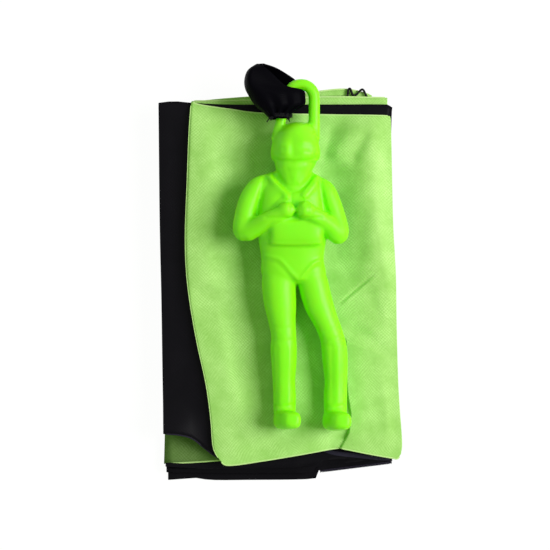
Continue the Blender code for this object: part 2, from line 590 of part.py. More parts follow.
def make_ring():
    """The closed bail on the helmet: two legs and a round arch, of round section."""
    arch = np.linspace(0, math.pi, 13)
    over = np.stack([np.cos(arch), np.sin(arch)], axis=1) * RING_RADIUS
    root = -RING_RISE - RING_ROOT_DEPTH
    right = [(RING_RADIUS, root), (RING_RADIUS, root / 2)]
    left = [(-RING_RADIUS + root * share * math.tan(RING_LEFT_SLANT), root * share) for share in (0.5, 1)]
    plan = np.concatenate([right, over, left])
    centres = np.column_stack([plan, np.full(len(plan), RING_HEIGHT)])
    heading = np.gradient(centres, axis=0)
    across = np.cross(heading, (0, 0, 1.0))
    across /= np.linalg.norm(across, axis=1)[:, None]
    wire = np.full(len(plan), RING_WIRE_RADIUS)
    return make_loft("ring", centres, across, wire, wire, 10, 2, GREEN_PLASTIC)


def make_figure(floor):
    """The parachutist, one moulding: its forms overlap and are joined into one skin."""
    forms = bpy.data.collections.new("figure_forms")
    bpy.context.scene.collection.children.link(forms)
    forms.hide_render = True
    pieces = [
        body_loft("helmet", HELMET_SHARES, 2.2),
        body_loft("face_mask", FACE_SHARES, 2.2, ROUND_SIDES),
        body_loft("neck", NECK_SHARES, 2, ROUND_SIDES),
        body_loft("chest_pack", CHEST_PACK_SHARES, 6, ROUND_SIDES),
        body_loft("left_leg", LEFT_LEG_SHARES, 2.2, ROUND_SIDES),
        body_loft("right_leg", RIGHT_LEG_SHARES, 2.2, ROUND_SIDES),
        foot_loft("left_foot", LEFT_FOOT_SHARES),
        foot_loft("right_foot", RIGHT_FOOT_SHARES),
        make_ring(),
    ]
    pieces.extend(limb(name, rows) for name, rows in LIMB_SHARES.items())
    figure = body_loft("figure", TORSO_SHARES, 2.6)
    for piece in pieces:
        helper(piece)
        bpy.context.scene.collection.objects.unlink(piece)
        forms.objects.link(piece)
        piece.parent = figure
    figure.location = (*RING_CENTRE, floor)
    join = figure.modifiers.new("forms", "BOOLEAN")
    join.operation = "UNION"
    join.solver = "EXACT"
    join.operand_type = "COLLECTION"
    join.collection = forms
    return figure


RING_CENTRE = (RING_SIDE, PACK_END_Y - RING_BELOW_END)
RING_HEIGHT = RING_LEVEL_SHARE * BODY_HEIGHT
STRAP_CENTRE = (-0.0014, PACK_END_Y + STRAP_REACH - STRAP_LENGTH / 2)
LEAD_TOP_Y = PACK_END_Y - LEADS_INSIDE_END
HINGE_Y = LEAD_TOP_Y + LINE_DIAMETER / 2 + 2 * CLEARANCE


def main():
    """Builds the toy from the surface up."""
    for old in list(bpy.data.objects):
        bpy.data.objects.remove(old)
    names = list(GORE_EDGE_SHARES)
    for index, name in enumerate(names[:-1]):
        make_gore(name, index, PACK_COLUMNS, PACK_ROWS, lambda plan: np.zeros(plan.shape[:2]))
    make_gore(names[-1], len(names) - 1, TOP_COLUMNS, TOP_ROWS, lap_relief)
    make_hem()
    pack_top = layer_floor(len(names) - 1) + GORE_THICKNESS + FOLD_RISE
    rest_floor = pack_top + CLEARANCE
    for index in range(LINE_COUNT):
        make_hank(index)
        cord_curve(f"line_lead_{index + 1}", lead_route(index, rest_floor))
    make_slack()
    make_strap(rest_floor)
    make_figure(rest_floor)


main()
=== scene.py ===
"""Looks of a toy parachute that lies packed, with its moulded parachutist on top, seen from straight above.

Metres, +Z up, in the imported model's frame: +X runs across the pack and +Y from the figure's feet to its head.
"""

import logging
import math
from dataclasses import dataclass, field, replace
from enum import Enum, IntEnum

import bpy
import numpy as np
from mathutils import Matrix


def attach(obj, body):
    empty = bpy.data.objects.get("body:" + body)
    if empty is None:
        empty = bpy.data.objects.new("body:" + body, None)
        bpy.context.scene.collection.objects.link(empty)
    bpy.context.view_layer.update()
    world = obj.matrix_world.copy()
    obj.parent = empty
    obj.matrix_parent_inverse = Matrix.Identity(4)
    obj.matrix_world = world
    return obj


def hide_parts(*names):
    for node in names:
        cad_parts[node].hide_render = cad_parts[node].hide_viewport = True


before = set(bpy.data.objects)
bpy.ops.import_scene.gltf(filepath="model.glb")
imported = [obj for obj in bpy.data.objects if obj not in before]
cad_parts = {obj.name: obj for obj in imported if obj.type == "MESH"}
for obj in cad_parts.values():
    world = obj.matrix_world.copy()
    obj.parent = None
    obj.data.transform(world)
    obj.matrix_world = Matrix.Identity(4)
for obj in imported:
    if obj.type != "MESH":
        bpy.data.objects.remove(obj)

log = logging.getLogger("toy_parachute")
MM = 0.001
UP = (0.0, 0.0, 1.0)
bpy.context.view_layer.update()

Array = np.ndarray
Colour = tuple[float, float, float]
Line = tuple[tuple[float, ...], ...]
Material = bpy.types.Material
Piece = bpy.types.Object
Socket = bpy.types.NodeSocket


class Side(Enum):
    """A long side of the pack."""

    LEFT = 0
    RIGHT = 1


class Layer(IntEnum):
    """The gores that the code names, counted from the bottom one."""

    SEAMED = 3
    PLEATED = 4
    OVER_BLACK = 5
    UNDER_FLAP = 6
    FLAP = 7


def smooth_step(share: Array) -> Array:
    """Runs from 0 to 1 with level ends: 3 t squared less 2 t cubed, with t held between 0 and 1."""
    held = np.clip(share, 0, 1)
    return held * held * (3 - 2 * held)


def smooth_curve(points: Array, per_span: int) -> Array:
    """A smooth curve through points: cubic spans whose tangents lie along the line between the neighbours.

    Args:
        points: the points, one a row.
        per_span: how many points each span gets.

    Returns:
        The curve's points, one a row.
    """
    points = np.asarray(points, float)
    tangents = np.gradient(points, axis=0)
    t = np.linspace(0, 1, per_span, endpoint=False)[None, :, None]
    spans = (
        points[:-1, None] * (2 * t**3 - 3 * t**2 + 1)
        + points[1:, None] * (3 * t**2 - 2 * t**3)
        + tangents[:-1, None] * (t**3 - 2 * t**2 + t)
        + tangents[1:, None] * (t**3 - t**2)
    )
    return np.concatenate([spans.reshape(-1, points.shape[1]), points[-1:]])


def length_along(points: Array) -> Array:
    """The length of a line from its start to each of its points."""
    return np.concatenate([[0], np.cumsum(np.linalg.norm(np.diff(points, axis=0), axis=1))])


def at_shares(points: Array, shares: Array) -> Array:
    """The places at the given shares of a line's length, with one more axis than the shares have."""
    along = length_along(points)
    along = along / along[-1]
    return np.stack([np.interp(shares, along, points[:, axis]) for axis in range(points.shape[1])], axis=-1)


def sideways(path: Array, reference: tuple[float, float, float] = UP) -> Array:
    """At each point of a path, the direction that is square to the path and to the reference."""
    across = np.cross(np.gradient(path, axis=0), reference)
    return across / np.linalg.norm(across, axis=1)[:, None]


@dataclass
class Surface:
    """A mesh in arrays: quads with a place on the cloth or cord for each corner, and caps with more
    corners.
    """

    points: Array
    quads: Array
    corner_uv: Array
    caps: list[list[int]] = field(default_factory=list)

    def object(self, name: str) -> Piece:
        """Puts the arrays into a smooth mesh object of the given name, which sits at the origin."""
        mesh = bpy.data.meshes.new(name)
        mesh.from_pydata(self.points.tolist(), [], self.quads.tolist() + self.caps)
        uv = np.zeros((len(mesh.loops), 2))
        uv[: self.quads.size] = self.corner_uv.reshape(-1, 2)
        mesh.uv_layers.new(name="surface").data.foreach_set("uv", uv.astype(np.float32).ravel())
        mesh.shade_smooth()
        mesh.set_sharp_from_angle(angle=math.radians(60))
        return linked(name, mesh)


def linked(name: str, data: bpy.types.ID) -> Piece:
    """A new object for some data, in the scene."""
    made = bpy.data.objects.new(name, data)
    bpy.context.scene.collection.objects.link(made)
    return made


def merged(surfaces: list[Surface]) -> Surface:
    """Several surfaces as one, with their corners renumbered."""
    starts = np.cumsum([0] + [len(one.points) for one in surfaces[:-1]])
    return Surface(
        np.concatenate([one.points for one in surfaces]),
        np.concatenate([one.quads + start for one, start in zip(surfaces, starts)]),
        np.concatenate([one.corner_uv for one in surfaces]),
        [[int(start) + corner for corner in cap] for one, start in zip(surfaces, starts) for cap in one.caps],
    )


def grid_surface(points: Array, uv: Array) -> Surface:
    """An open sheet on a grid of points, rows by columns, with each point's place on the cloth."""
    rows, columns = points.shape[:2]
    number = np.arange(rows * columns).reshape(rows, columns)
    quads, corner_uv = (
        np.stack([grid[:-1, :-1], grid[:-1, 1:], grid[1:, 1:], grid[1:, :-1]], axis=2)
        for grid in (number, uv)
    )
    return Surface(points.reshape(-1, 3), quads.reshape(-1, 4), corner_uv.reshape(-1, 4, 2))


def tube(centres: Array, across: Array, wide: Array, high: Array, sides: int, power: float = 2.0) -> Surface:
    """A closed form of rings along a path.

    Each ring is a superellipse: its cosine and sine are raised to 2 / power.

    Args:
        centres: the middle of each ring.
        across: each ring's own direction to the side.
        wide: half the width of each ring.
        high: half the depth of each ring.
        sides: corners of a ring.
        power: 2 gives ellipses, and more gives squarer rings.

    Returns:
        The tube with its two ends capped.
    """
    turn = np.arange(sides) * 2 * math.pi / sides
    cosine, sine = (np.sign(wave) * np.abs(wave) ** (2 / power) for wave in (np.cos(turn), np.sin(turn)))
    up = np.cross(across, np.gradient(centres, axis=0))
    up /= np.linalg.norm(up, axis=1)[:, None]
    rows = len(centres)
    rings = (
        centres[:, None]
        + across[:, None] * (np.broadcast_to(wide, rows)[:, None] * cosine)[..., None]
        + up[:, None] * (np.broadcast_to(high, rows)[:, None] * sine)[..., None]
    )
    number = np.arange(rows * sides).reshape(rows, sides)
    beside = np.roll(number, -1, axis=1)
    quads = np.stack([number[:-1], number[1:], beside[1:], beside[:-1]], axis=-1)
    along = length_along(centres)[:, None, None]
    corner_uv = np.zeros((rows - 1, sides, 4, 2))
    corner_uv[..., 0] = (np.arange(sides) / sides)[None, :, None] + np.array([0, 0, 1, 1]) / sides
    corner_uv[..., 1] = np.where(np.array([0, 1, 1, 0]), along[1:], along[:-1])
    caps = [number[0].tolist(), number[-1, ::-1].tolist()]
    return Surface(rings.reshape(-1, 3), quads.reshape(-1, 4), corner_uv.reshape(-1, 4, 2), caps)


def cord_tube(path: Array, radius: float, sides: int = 8) -> Surface:
    """A round cord along a path. Its rings are turned from one direction that no stretch of the path
    follows.
    """
    return tube(path, sideways(path, tuple(np.ones(3) / math.sqrt(3))), radius, radius, sides)


def modifier(piece: Piece, kind: str, **settings: float | bool | str) -> None:
    """Adds a modifier with the given settings to a piece."""
    made = piece.modifiers.new(kind.title(), kind)
    for key, value in settings.items():
        setattr(made, key, value)


def fitted(piece: Piece, material: Material, body: str = "pack", stands_for: tuple = ()) -> Piece:
    """Gives a piece its material, the body that it rides on and the nodes that it stands for."""
    piece.data.materials.append(material)
    if stands_for:
        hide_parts(*stands_for)
    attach(piece, body)
    return piece


class Nodes:
    """A node tree, with short ways to add what the materials and the world need."""

    def __init__(self, tree: bpy.types.NodeTree) -> None:
        """Takes the tree that the nodes go into."""
        self.tree = tree

    def add(self, kind: str, inputs: dict | None = None, **settings: object) -> bpy.types.Node:
        """Adds a node.

        Args:
            kind: the node's type after ShaderNode.
            inputs: values or other nodes' outputs, by the name or number of the input that takes them.
            settings: the node's own settings.

        Returns:
            The new node.
        """
        node = self.tree.nodes.new("ShaderNode" + kind)
        for key, value in settings.items():
            setattr(node, key, value)
        self.feed(node, inputs or {})
        return node

    def feed(self, node: bpy.types.Node, inputs: dict) -> None:
        """Links outputs to a node's inputs, or sets them to values."""
        for key, value in inputs.items():
            if isinstance(value, Socket):
                self.tree.links.new(value, node.inputs[key])
            else:
                node.inputs[key].default_value = value

    def math(self, operation: str, *values: object) -> Socket:
        """The output of a Math node on numbers or sockets."""
        return self.add("Math", dict(enumerate(values)), operation=operation).outputs[0]

    def mixed(self, share: object, first: object, second: object) -> Socket:
        """A colour that runs from the first to the second as the share runs from 0 to 1."""
        colours = [value if isinstance(value, Socket) else (*value, 1) for value in (first, second)]
        return self.add("Mix", {0: share, 6: colours[0], 7: colours[1]}, data_type="RGBA").outputs[2]

    def spread(self, value: Socket, low: float, high: float) -> Socket:
        """0 where the value is low and 1 where it is high."""
        return self.add("MapRange", {0: value, 1: low, 2: high}).outputs[0]

    def noise(self, place: Socket, scale: float, detail: float = 2.0, roughness: float = 0.5) -> Socket:
        """Noise from 0 to 1 with so many grains a metre."""
        inputs = {0: place, "Scale": scale, "Detail": detail, "Roughness": roughness}
        return self.add("TexNoise", inputs).outputs[0]

    def waves(self, place: Socket, pitch: float, direction: str, **inputs: float) -> Socket:
        """Waves from 0 to 1 along X or Y, the given pitch apart in metres."""
        settings = {0: place, "Scale": 2 * math.pi / 20 / pitch, **inputs}
        return self.add("TexWave", settings, bands_direction=direction).outputs[1]


class Recipe(Nodes):
    """One material's nodes: a Principled shader, and what is worked out in front of it."""

    def __init__(self, name: str, roughness: float, **inputs: float | tuple) -> None:
        """Makes the material, with the shader's other inputs by their names with underscores."""
        self.material = bpy.data.materials.new(name)
        self.material.use_nodes = True
        super().__init__(self.material.node_tree)
        self.shader = self.tree.nodes["Principled BSDF"]
        named = {key.replace("_", " "): value for key, value in inputs.items()}
        self.feed(self.shader, {"Roughness": roughness, **named})

    def surface(self) -> Socket:
        """The place on the flat cloth or along the cord."""
        return self.add("UVMap", uv_map="surface").outputs[0]

    def finished(self, colour: Socket, height: Socket, strength: float, depth: float) -> Material:
        """The material once it has its colour and its dents, by a height from 0 to 1 over a depth in
        metres.
        """
        dents = self.add("Bump", {"Strength": strength, "Distance": depth, "Height": height})
        self.feed(self.shader, {"Base Color": colour, "Normal": dents.outputs[0]})
        return self.material


@dataclass(frozen=True)
class ClothFinish:
    """Thin woven nylon: threads run at 45 degrees to the gore's sides, and the dye is a little uneven."""

    name: str
    light: Colour
    dark: Colour
    roughness: float
    sheen: float
    sheen_tint: Colour
    specular: float = 0.12
    thread_pitch: float = 0.00060
    weave_depth: float = 0.000025
    weave_share: float = 0.36
    # Below this place along the pack the cloth takes darker copies of its dyes: painted shade under the curled
    # black gore, partly the black beneath showing through the single ply.
    shade_and_show_through_below: float | None = None
    shade_and_show_through_shares: tuple[float, float] = (0.30, 0.36)

    def material(self) -> Material:
        """Two crossing waves are the threads, one along each diagonal, and each shows in its own patches.

        The weave and two noises, slow and fine, share out the dark and the light dye: the noises are uneven dye,
        and the weave paints the thread crests lighter and the grooves darker, as painted light and shade. Below
        the given place along the pack the colour turns to darker copies of the dyes: painted shade under the
        curled black gore, partly the black beneath showing through the single ply.
        """
        recipe = Recipe(
            self.name, self.roughness, Sheen_Weight=self.sheen, Sheen_Roughness=0.45,
            Sheen_Tint=(*self.sheen_tint, 1), Specular_IOR_Level=self.specular,
        )
        place = recipe.surface()
        turned = recipe.add("Mapping", {0: place, "Rotation": (0, 0, math.radians(45))}).outputs[0]
        weave = 0.0
        for direction, scale in (("X", 210.0), ("Y", 170.0)):
            wander = {"Distortion": 5.6, "Detail": 3.0, "Detail Scale": 0.9}
            threads = recipe.waves(turned, self.thread_pitch, direction, **wander)
            shown = recipe.spread(recipe.noise(place, scale), 0.35, 0.68)
            weave = recipe.math("ADD", weave, recipe.math("MULTIPLY", threads, shown))
        slow = recipe.spread(recipe.noise(place, 110.0, 3.0, 0.6), 0.15, 0.85)
        fine = recipe.noise(place, 1300.0, 2.0, 0.6)
        noises = recipe.math("ADD", recipe.math("MULTIPLY", slow, 0.55), recipe.math("MULTIPLY", fine, 0.45))
        # The weave lightens the thread crests and darkens the grooves between them: painted light and shade in
        # the threads; the noises are uneven dye.
        woven = recipe.math("MULTIPLY", weave, self.weave_share)
        share = recipe.math("ADD", woven, recipe.math("MULTIPLY", noises, 1.1 - self.weave_share))
        dyed = recipe.mixed(share, self.dark, self.light)
        # Darker copies of the dyes below that place: painted shade under the curled black gore, partly the black
        # beneath showing through.
        edge = self.shade_and_show_through_below
        if edge is not None:
            along = recipe.add("SeparateXYZ", {0: recipe.add("TexCoord").outputs["Object"]}).outputs[1]
            both = zip(self.shade_and_show_through_shares, (self.dark, self.light))
            through = recipe.mixed(share, *(part * np.array(dye) for part, dye in both))
            dyed = recipe.mixed(recipe.spread(along, edge, edge - 6 * MM), dyed, through)
        return recipe.finished(dyed, weave, 0.5, self.weave_depth)


@dataclass(frozen=True)
class CordFinish:
    """Braided or spun black thread: strands wind round it, with a soft bump between them."""

    name: str
    colour: Colour
    strand_pitch: float = 0.0007

    def material(self) -> Material:
        """A wave on the cord's own length and turn: it rises where the two add up to a whole strand."""
        recipe = Recipe(self.name, 0.6, Specular_IOR_Level=0.15)
        parts = recipe.add("SeparateXYZ", {0: recipe.surface()})
        turns = recipe.math("MULTIPLY", parts.outputs[0], 3.0)
        along = recipe.math("DIVIDE", parts.outputs[1], self.strand_pitch)
        angle = recipe.math("MULTIPLY", recipe.math("ADD", turns, along), 2 * math.pi)
        strand = recipe.math("MULTIPLY_ADD", recipe.math("SINE", angle), 0.5, 0.5)
        # Darker in the grooves between strands: painted shade.
        colour = recipe.mixed(strand, tuple(0.35 * part for part in self.colour), self.colour)
        return recipe.finished(colour, strand, 0.6, 0.00008)


@dataclass(frozen=True)
class RibbonFinish:
    """Soft black ribbon with fine ribs across it and a faint violet sheen."""

    name: str = "black_ribbon"
    colour: Colour = (0.0010, 0.0008, 0.0018)
    rib_pitch: float = 0.00042

    def material(self) -> Material:
        """One wave along the ribbon's length makes the ribs, and slow noise sets where their crests are painted
        up to twice as light: a painted highlight.
        """
        recipe = Recipe(
            self.name, 0.5, Sheen_Weight=0.004, Specular_IOR_Level=0.02, Sheen_Roughness=0.35,
            Sheen_Tint=(0.62, 0.55, 0.75, 1),
        )
        place = recipe.surface()
        rib = recipe.waves(place, self.rib_pitch, "Y", Distortion=0.6)
        share = recipe.math("MULTIPLY", rib, recipe.noise(place, 220.0))
        # Rib crests painted lighter in noisy patches: a painted highlight.
        colour = recipe.mixed(share, self.colour, tuple(2.0 * part for part in self.colour))
        return recipe.finished(colour, rib, 0.4, 0.00004)


@dataclass(frozen=True)
class PlasticFinish:
    """Soft moulded plastic in a fluorescent green: satin, slightly waxy, with a fine moulded grain."""

    name: str = "green_plastic"
    colour: Colour = (0.255, 0.90, 0.002)
    thin: Colour = (0.31, 0.93, 0.007)
    roughness: float = 0.42

    def material(self) -> Material:
        """Slow noise varies the colour a little, and fine noise is the grain of the mould."""
        recipe = Recipe(
            self.name, self.roughness, Subsurface_Weight=0.8, Subsurface_Radius=(0.5, 1.0, 0.2),
            Subsurface_Scale=0.0024, Specular_IOR_Level=0.30,
        )
        place = recipe.add("TexCoord").outputs["Object"]
        slow, grain = recipe.noise(place, 120.0), recipe.noise(place, 2600.0, 3.0)
        rough = recipe.add("MapRange", {0: grain, 3: self.roughness - 0.04, 4: self.roughness + 0.06})
        recipe.feed(recipe.shader, {"Roughness": rough.outputs[0]})
        return recipe.finished(recipe.mixed(slow, self.colour, self.thin), grain, 0.12, 0.00004)


GREEN_CLOTH = ClothFinish("green_cloth", (0.57, 0.87, 0.31), (0.25, 0.54, 0.082), 0.78, 0.10, (0.9, 1.0, 0.8))
# The gore over the black one, with painted shade in its lower left corner under the curled black gore.
GREEN_SHADE_AND_SHOW_THROUGH = replace(GREEN_CLOTH, name="green_cloth_over_black", shade_and_show_through_below=-0.031)
# The hems are lighter than their cloth: the light lip along the gores' edges is a painted highlight on the hem
# beads.
GREEN_HEM_PAINTED_HIGHLIGHT = ClothFinish("green_hem_painted_highlight", (0.70, 0.88, 0.42), (0.50, 0.76, 0.26), 0.75, 0.12, (0.9, 1.0, 0.8))
BLACK_CLOTH = ClothFinish(
    "black_cloth", (0.0048, 0.0040, 0.0062), (0.0018, 0.0015, 0.0026), 0.46, 0.005, (0.8, 0.75, 1.0), 0.05
)
BLACK_HEM_PAINTED_HIGHLIGHT = ClothFinish(
    "black_hem", (0.016, 0.012, 0.026), (0.008, 0.006, 0.014), 0.50, 0.012, (0.7, 0.6, 1.0), 0.10
)
# A violet grey lighter than the black cloth: the lighter band over the pleats is a painted sheen on the hem tape.
BLACK_TAPE_PAINTED_SHEEN = ClothFinish(
    "black_tape_painted_sheen", (0.034, 0.028, 0.055), (0.018, 0.015, 0.030), 0.60, 0.010, (0.7, 0.6, 1.0), 0.05
)
GREEN_THREAD = CordFinish("green_thread", (0.16, 0.34, 0.07))
BLACK_CORD = CordFinish("black_cord", (0.0035, 0.0033, 0.0045))

# Each gore's outline from the pack's middle, in ten-thousandths of its width and length: the bottom and the
# top edge from left to right, then what lies between their ends on the left and the right edge, from the
# bottom up.
GORE_EDGE_SHARES = {
    "gore_1_black": (
        (
            -4670, -5060, -4000, -5030, -3450, -5010, -2900, -5060, -1500, -5060, 1320, -5030, 1490, -4870,
            1650, -4805, 2200, -4760, 4670, -4570,
        ),
        (-3970, 4490, -20, 4520, 4090, 4490),
        (-4710, -2450, -4550, 1120),
        (4590, -2960, 4340, 1120),
    ),
    "gore_2_green": (
        (-4550, -4390, -20, -4340, 4340, -4130),
        (-3480, 4590, -20, 4660, 2650, 4800, 3850, 4700),
        (-4590, -1680, -4300, 2140),
        (4300, -1680, 4140, 2140),
    ),
    "gore_3_black": (
        (-4730, -4850, -2080, -4870, 1300, -4850, 1600, -4690, 4550, -4490),
        (-4140, 4540, -20, 4570, 4180, 4540),
        (-4740, -2960, -4630, 870),
        (4470, -2960, 4340, 870),
    ),
    "gore_4_green": (
        (-4590, -4440, -20, -4390, 4380, -4180),
        (-3600, 4670, -2080, 4760, 800, 4890, 2650, 5000, 3770, 4850),
        (-4630, -1680, -4380, 2140),
        (4340, -1680, 4180, 2140),
    ),
    "gore_5_black": (
        (-4760, -4690, -2080, -4740, 1010, -4690, 2040, -4500, 4550, -4520),
        (-4340, 4390, -20, 4390, 4300, 4360),
        (-4740, -2960, -4630, 870),
        (4510, -2960, 4380, 870),
    ),
    "gore_6_green": (
        (-4850, -4630, -2780, -4535, -840, -4360, 2450, -4080, 4420, -4290),
        (-3660, 4685, -1260, 4700, 1630, 4790, 4410, 4770),
        (-4670, -410, -4470, 2140, -3890, 4230),
        (4420, -2960, 4340, -410),
    ),
    "gore_7_black": (
        (
            -4820, -3830, -4220, -3850, -3640, -3950, -3110, -4210, -2550, -4430, -1670, -4410, 800, -4180,
            2450, -4010, 4590, -4230,
        ),
        (-5030, 4635, -4400, 4675, -3640, 4635, -2080, 4590, 1630, 4590, 4440, 4590, 4550, 4530),
        (-4860, -2450, -4910, -410, -4980, 1630),
        (4550, -2960, 4510, -410, 4490, 2140, 4520, 4200),
    ),
    "gore_8_green": (
        (
            -2500, -4500, -2140, -4630, -760, -4520, 800, -4360, 2280, -4200, 2700, -4220, 3680, -4340, 4580,
            -4440, 4820, -4460, 4960, -4340,
        ),
        (-3690, 4670, -3310, 4575, -2080, 4460, -760, 4360, 2040, 4320, 4510, 4290),
        (
            -2690, -4320, -2800, -4100, -2860, -3600, -2950, -3080, -3110, -2450, -3510, -1300, -3830, -30,
            -3930, 1120, -3850, 2650, -3770, 3930,
        ),
        (5000, -3980, 4860, -2700, 4785, -1170, 4755, 100, 4705, 750, 4630, 1650, 4550, 3930),
    ),
}
GORE_UNIT = 10000
# Swells of the stack: the place along the pack and the crest in thousandths of its length and width from
# the middle, the rise in hundredths of a millimetre, and the reaches left and right in thousandths of the
# width. A rise below 0 is a hollow.
SWELL_SHARES = {
    "right_ridge": (
        (-418, 308, 30, 40, 200), (-205, 308, 30, 40, 200), (-150, 380, 40, 110, 120),
        (-100, 420, 60, 120, 85), (-40, 434, 90, 130, 65), (20, 426, 170, 160, 70), (80, 410, 240, 190, 80),
        (150, 395, 270, 190, 85), (208, 382, 270, 185, 95), (407, 366, 190, 150, 120),
    ),
    "left_ridge": (
        (-423, -262, 80, 58, 190), (-245, -303, 80, 58, 190), (-130, -340, 90, 58, 190),
        (-3, -369, 130, 58, 200), (112, -377, 140, 58, 210), (393, -361, 120, 58, 200),
    ),
    "right_hollow": (
        (-250, 200, -30, 120, 80), (-100, 210, -90, 120, 120), (0, 190, -150, 110, 170),
        (280, 170, -170, 90, 180), (400, 155, -90, 90, 160),
    ),
    "left_hollow": (
        (-420, -80, -30, 110, 100), (-200, -125, -60, 120, 100), (300, -140, -80, 130, 100),
        (420, -120, -40, 120, 100),
    ),
}
SWELL_UNITS = (1000, 1000, 100, 1000, 1000)
SWELL_SPAN_SHARES = (-0.475, -0.375, 0.395, 0.462)


@dataclass(frozen=True)
class PackForm:
    """The size of the folded pack, and how its soft layers swell and dip away from flat."""

    width: float = 0.0623
    length: float = 0.1005
    centre_y: float = -0.00295
    gore_depth: float = 0.00075
    gap: float = 0.0003
    line_diameter: float = 0.0006
    lines_above: int = 3
    gores: int = 8

    @property
    def end_y(self) -> float:
        """The pack's upper end."""
        return self.centre_y + self.length / 2

    @property
    def top(self) -> float:
        """The height of the top gore's upper face where it lies flat."""
        return self.floor(self.gores - 1) + self.gore_depth

    def floor(self, index: int) -> float:
        """The height of the underside of a gore, counted from the bottom one."""
        lines = self.line_diameter + self.gap if index >= self.lines_above else 0
        return index * (self.gore_depth + self.gap) + lines

    def plan(self, shares: Array) -> Array:
        """Plan places, from shares of the pack's width and length from its middle."""
        return shares * (self.width, self.length) + (0, self.centre_y)

    def swell(self, x: Array, y: Array) -> Array:
        """How far the stack's top rises or sinks: ridges and hollows along it, which fade out towards its ends.

        Across, each is a smooth step up to its crest and one down again.
        """
        share_x, share_y = x / self.width, (y - self.centre_y) / self.length
        total = 0.0
        for rows in SWELL_SHARES.values():
            along, *columns = (np.array(rows) / SWELL_UNITS).T
            crest, rise, before, after = (np.interp(share_y, along, column) for column in columns)
            reach = np.where(share_x < crest, before, after)
            total = total + rise * MM * smooth_step(1 - np.abs(share_x - crest) / reach)
        foot, low, high, head = SWELL_SPAN_SHARES
        span = smooth_step((share_y - foot) / (low - foot)) * smooth_step((head - share_y) / (head - high))
        return span * total

    def dip(self, x: Array, y: Array) -> Array:
        """How much lower, as a share of height, the loose lower left corner lies under the two top gores."""
        in_x = np.clip((-15.5 * MM - x) / (15 * MM), 0, 1) ** 0.9
        in_y = smooth_step((-34 * MM - y) / (8 * MM)) * smooth_step((y + 50.7 * MM) / (1.5 * MM))
        return 0.62 * in_x * in_y

    def curl(self, x: Array, y: Array) -> Array:
        """How far the black gore under the flap curls up over that corner, in metres."""
        return 1.9 * MM * smooth_step((-18.5 * MM - x) / (8 * MM)) * smooth_step((-33 * MM - y) / (8 * MM))

    def lifted(self, x: Array, y: Array, z: Array, hollow: bool = False) -> Array:
        """Heights in the swollen pack: the more a flat height lies above the stowed lines, the more it rises.

        Args:
            x: places across the pack.
            y: places along it.
            z: the heights where the pack is flat.
            hollow: whether the loose corner's dip counts.

        Returns:
            The new heights.
        """
        base = self.floor(self.lines_above)
        share = np.clip((z - base) / (self.top - base), 0, 1)
        return (z + share * self.swell(x, y)) * (1 - (self.dip(x, y) if hollow else 0.0))


@dataclass(frozen=True)
class Crease:
    """A soft fold in the cloth, between two plan points in millimetres: positive heights are ridges."""

    start: tuple[float, float]
    end: tuple[float, float]
    half_width: float
    height: float

    def relief(self, x: Array, y: Array) -> Array:
        """A bell across the line between the points, times a bell-like fade along it."""
        begin, finish = np.array(self.start) * MM, np.array(self.end) * MM
        long = float(np.linalg.norm(finish - begin))
        heading = (finish - begin) / long
        along = ((x - begin[0]) * heading[0] + (y - begin[1]) * heading[1]) / long
        across = (x - begin[0]) * heading[1] - (y - begin[1]) * heading[0]
        fade = smooth_step(along / 0.35 + 0.4) * smooth_step((1 - along) / 0.35 + 0.4)
        return self.height * MM * fade * np.exp(-((across / (self.half_width * MM)) ** 2))


FLAP_CREASES = (
    Crease((14.0, 28.4), (18.6, 39.8), 1.9, 0.80), Crease((18.3, 28.0), (23.0, 38.0), 1.5, -0.65),
    Crease((13.6, 38.0), (11.0, 28.6), 1.1, -0.30), Crease((24.6, 0.1), (15.5, -7.6), 0.34, -0.32),
    Crease((25.0, -0.5), (15.9, -8.2), 0.5, 0.20), Crease((17.0, -14.0), (27.5, -19.4), 2.0, -0.65),
    Crease((9.1, -17.1), (5.0, -20.4), 0.6, 0.15), Crease((-17.0, 38.0), (-9.0, 16.0), 3.4, -0.30),
    Crease((-14.5, -6.0), (-11.0, -30.0), 2.8, -0.25), Crease((-17.0, -36.0), (-4.0, -44.0), 2.2, 0.30),
    Crease((20.5, -26.0), (28.0, -42.0), 2.6, 0.30), Crease((20.0, 3.0), (21.5, 16.0), 2.2, -0.35),
)
PLEATS = (
    Crease((4.6, -47.0), (7.6, -53.0), 0.9, 0.42), Crease((6.6, -47.5), (9.2, -52.6), 0.5, -0.25),
    Crease((9.6, -46.4), (10.4, -51.4), 0.7, 0.35), Crease((11.0, -46.4), (29.2, -48.6), 0.9, 0.50),
    Crease((13.0, -47.9), (27.0, -49.2), 0.5, -0.25),
)


@dataclass(frozen=True)
class Gore:
    """One canopy panel as folded: its outline on the pack and the way its sheet goes to and fro."""

    name: str
    index: int
    edges: dict[str, Array]

    @property
    def black(self) -> bool:
        """Whether the panel is one of the black ones."""
        return self.name.endswith("black")

    @property
    def first_fold(self) -> Side:
        """Where it folds first. Black gores do so on the left, so the left strip has rolled edges."""
        return Side.LEFT if self.black else Side.RIGHT

    @property
    def hemmed(self) -> tuple[str, ...]:
        """The edges whose hem shows: of the black gores, only the one under the flap has any."""
        if self.index == Layer.FLAP:
            return ("bottom", "top", "left")
        if self.black:
            return ("bottom",) if self.index == Layer.UNDER_FLAP else ()
        return ("bottom", "top")

    @property
    def slot(self) -> str:
        """The slot of its cloth."""
        return "black_cloth" if self.black else "green_cloth"


# Where the flap's grid lines lie, as shares across its top ply and along it: (from, to, count).
FLAP_SPANS = (
    ((0, 0.65, 52), (0.652, 0.765, 50), (0.769, 1, 54)),
    ((0, 0.305, 56), (0.3075, 0.385, 34), (0.388, 0.52, 48), (0.526, 1, 82)),
)


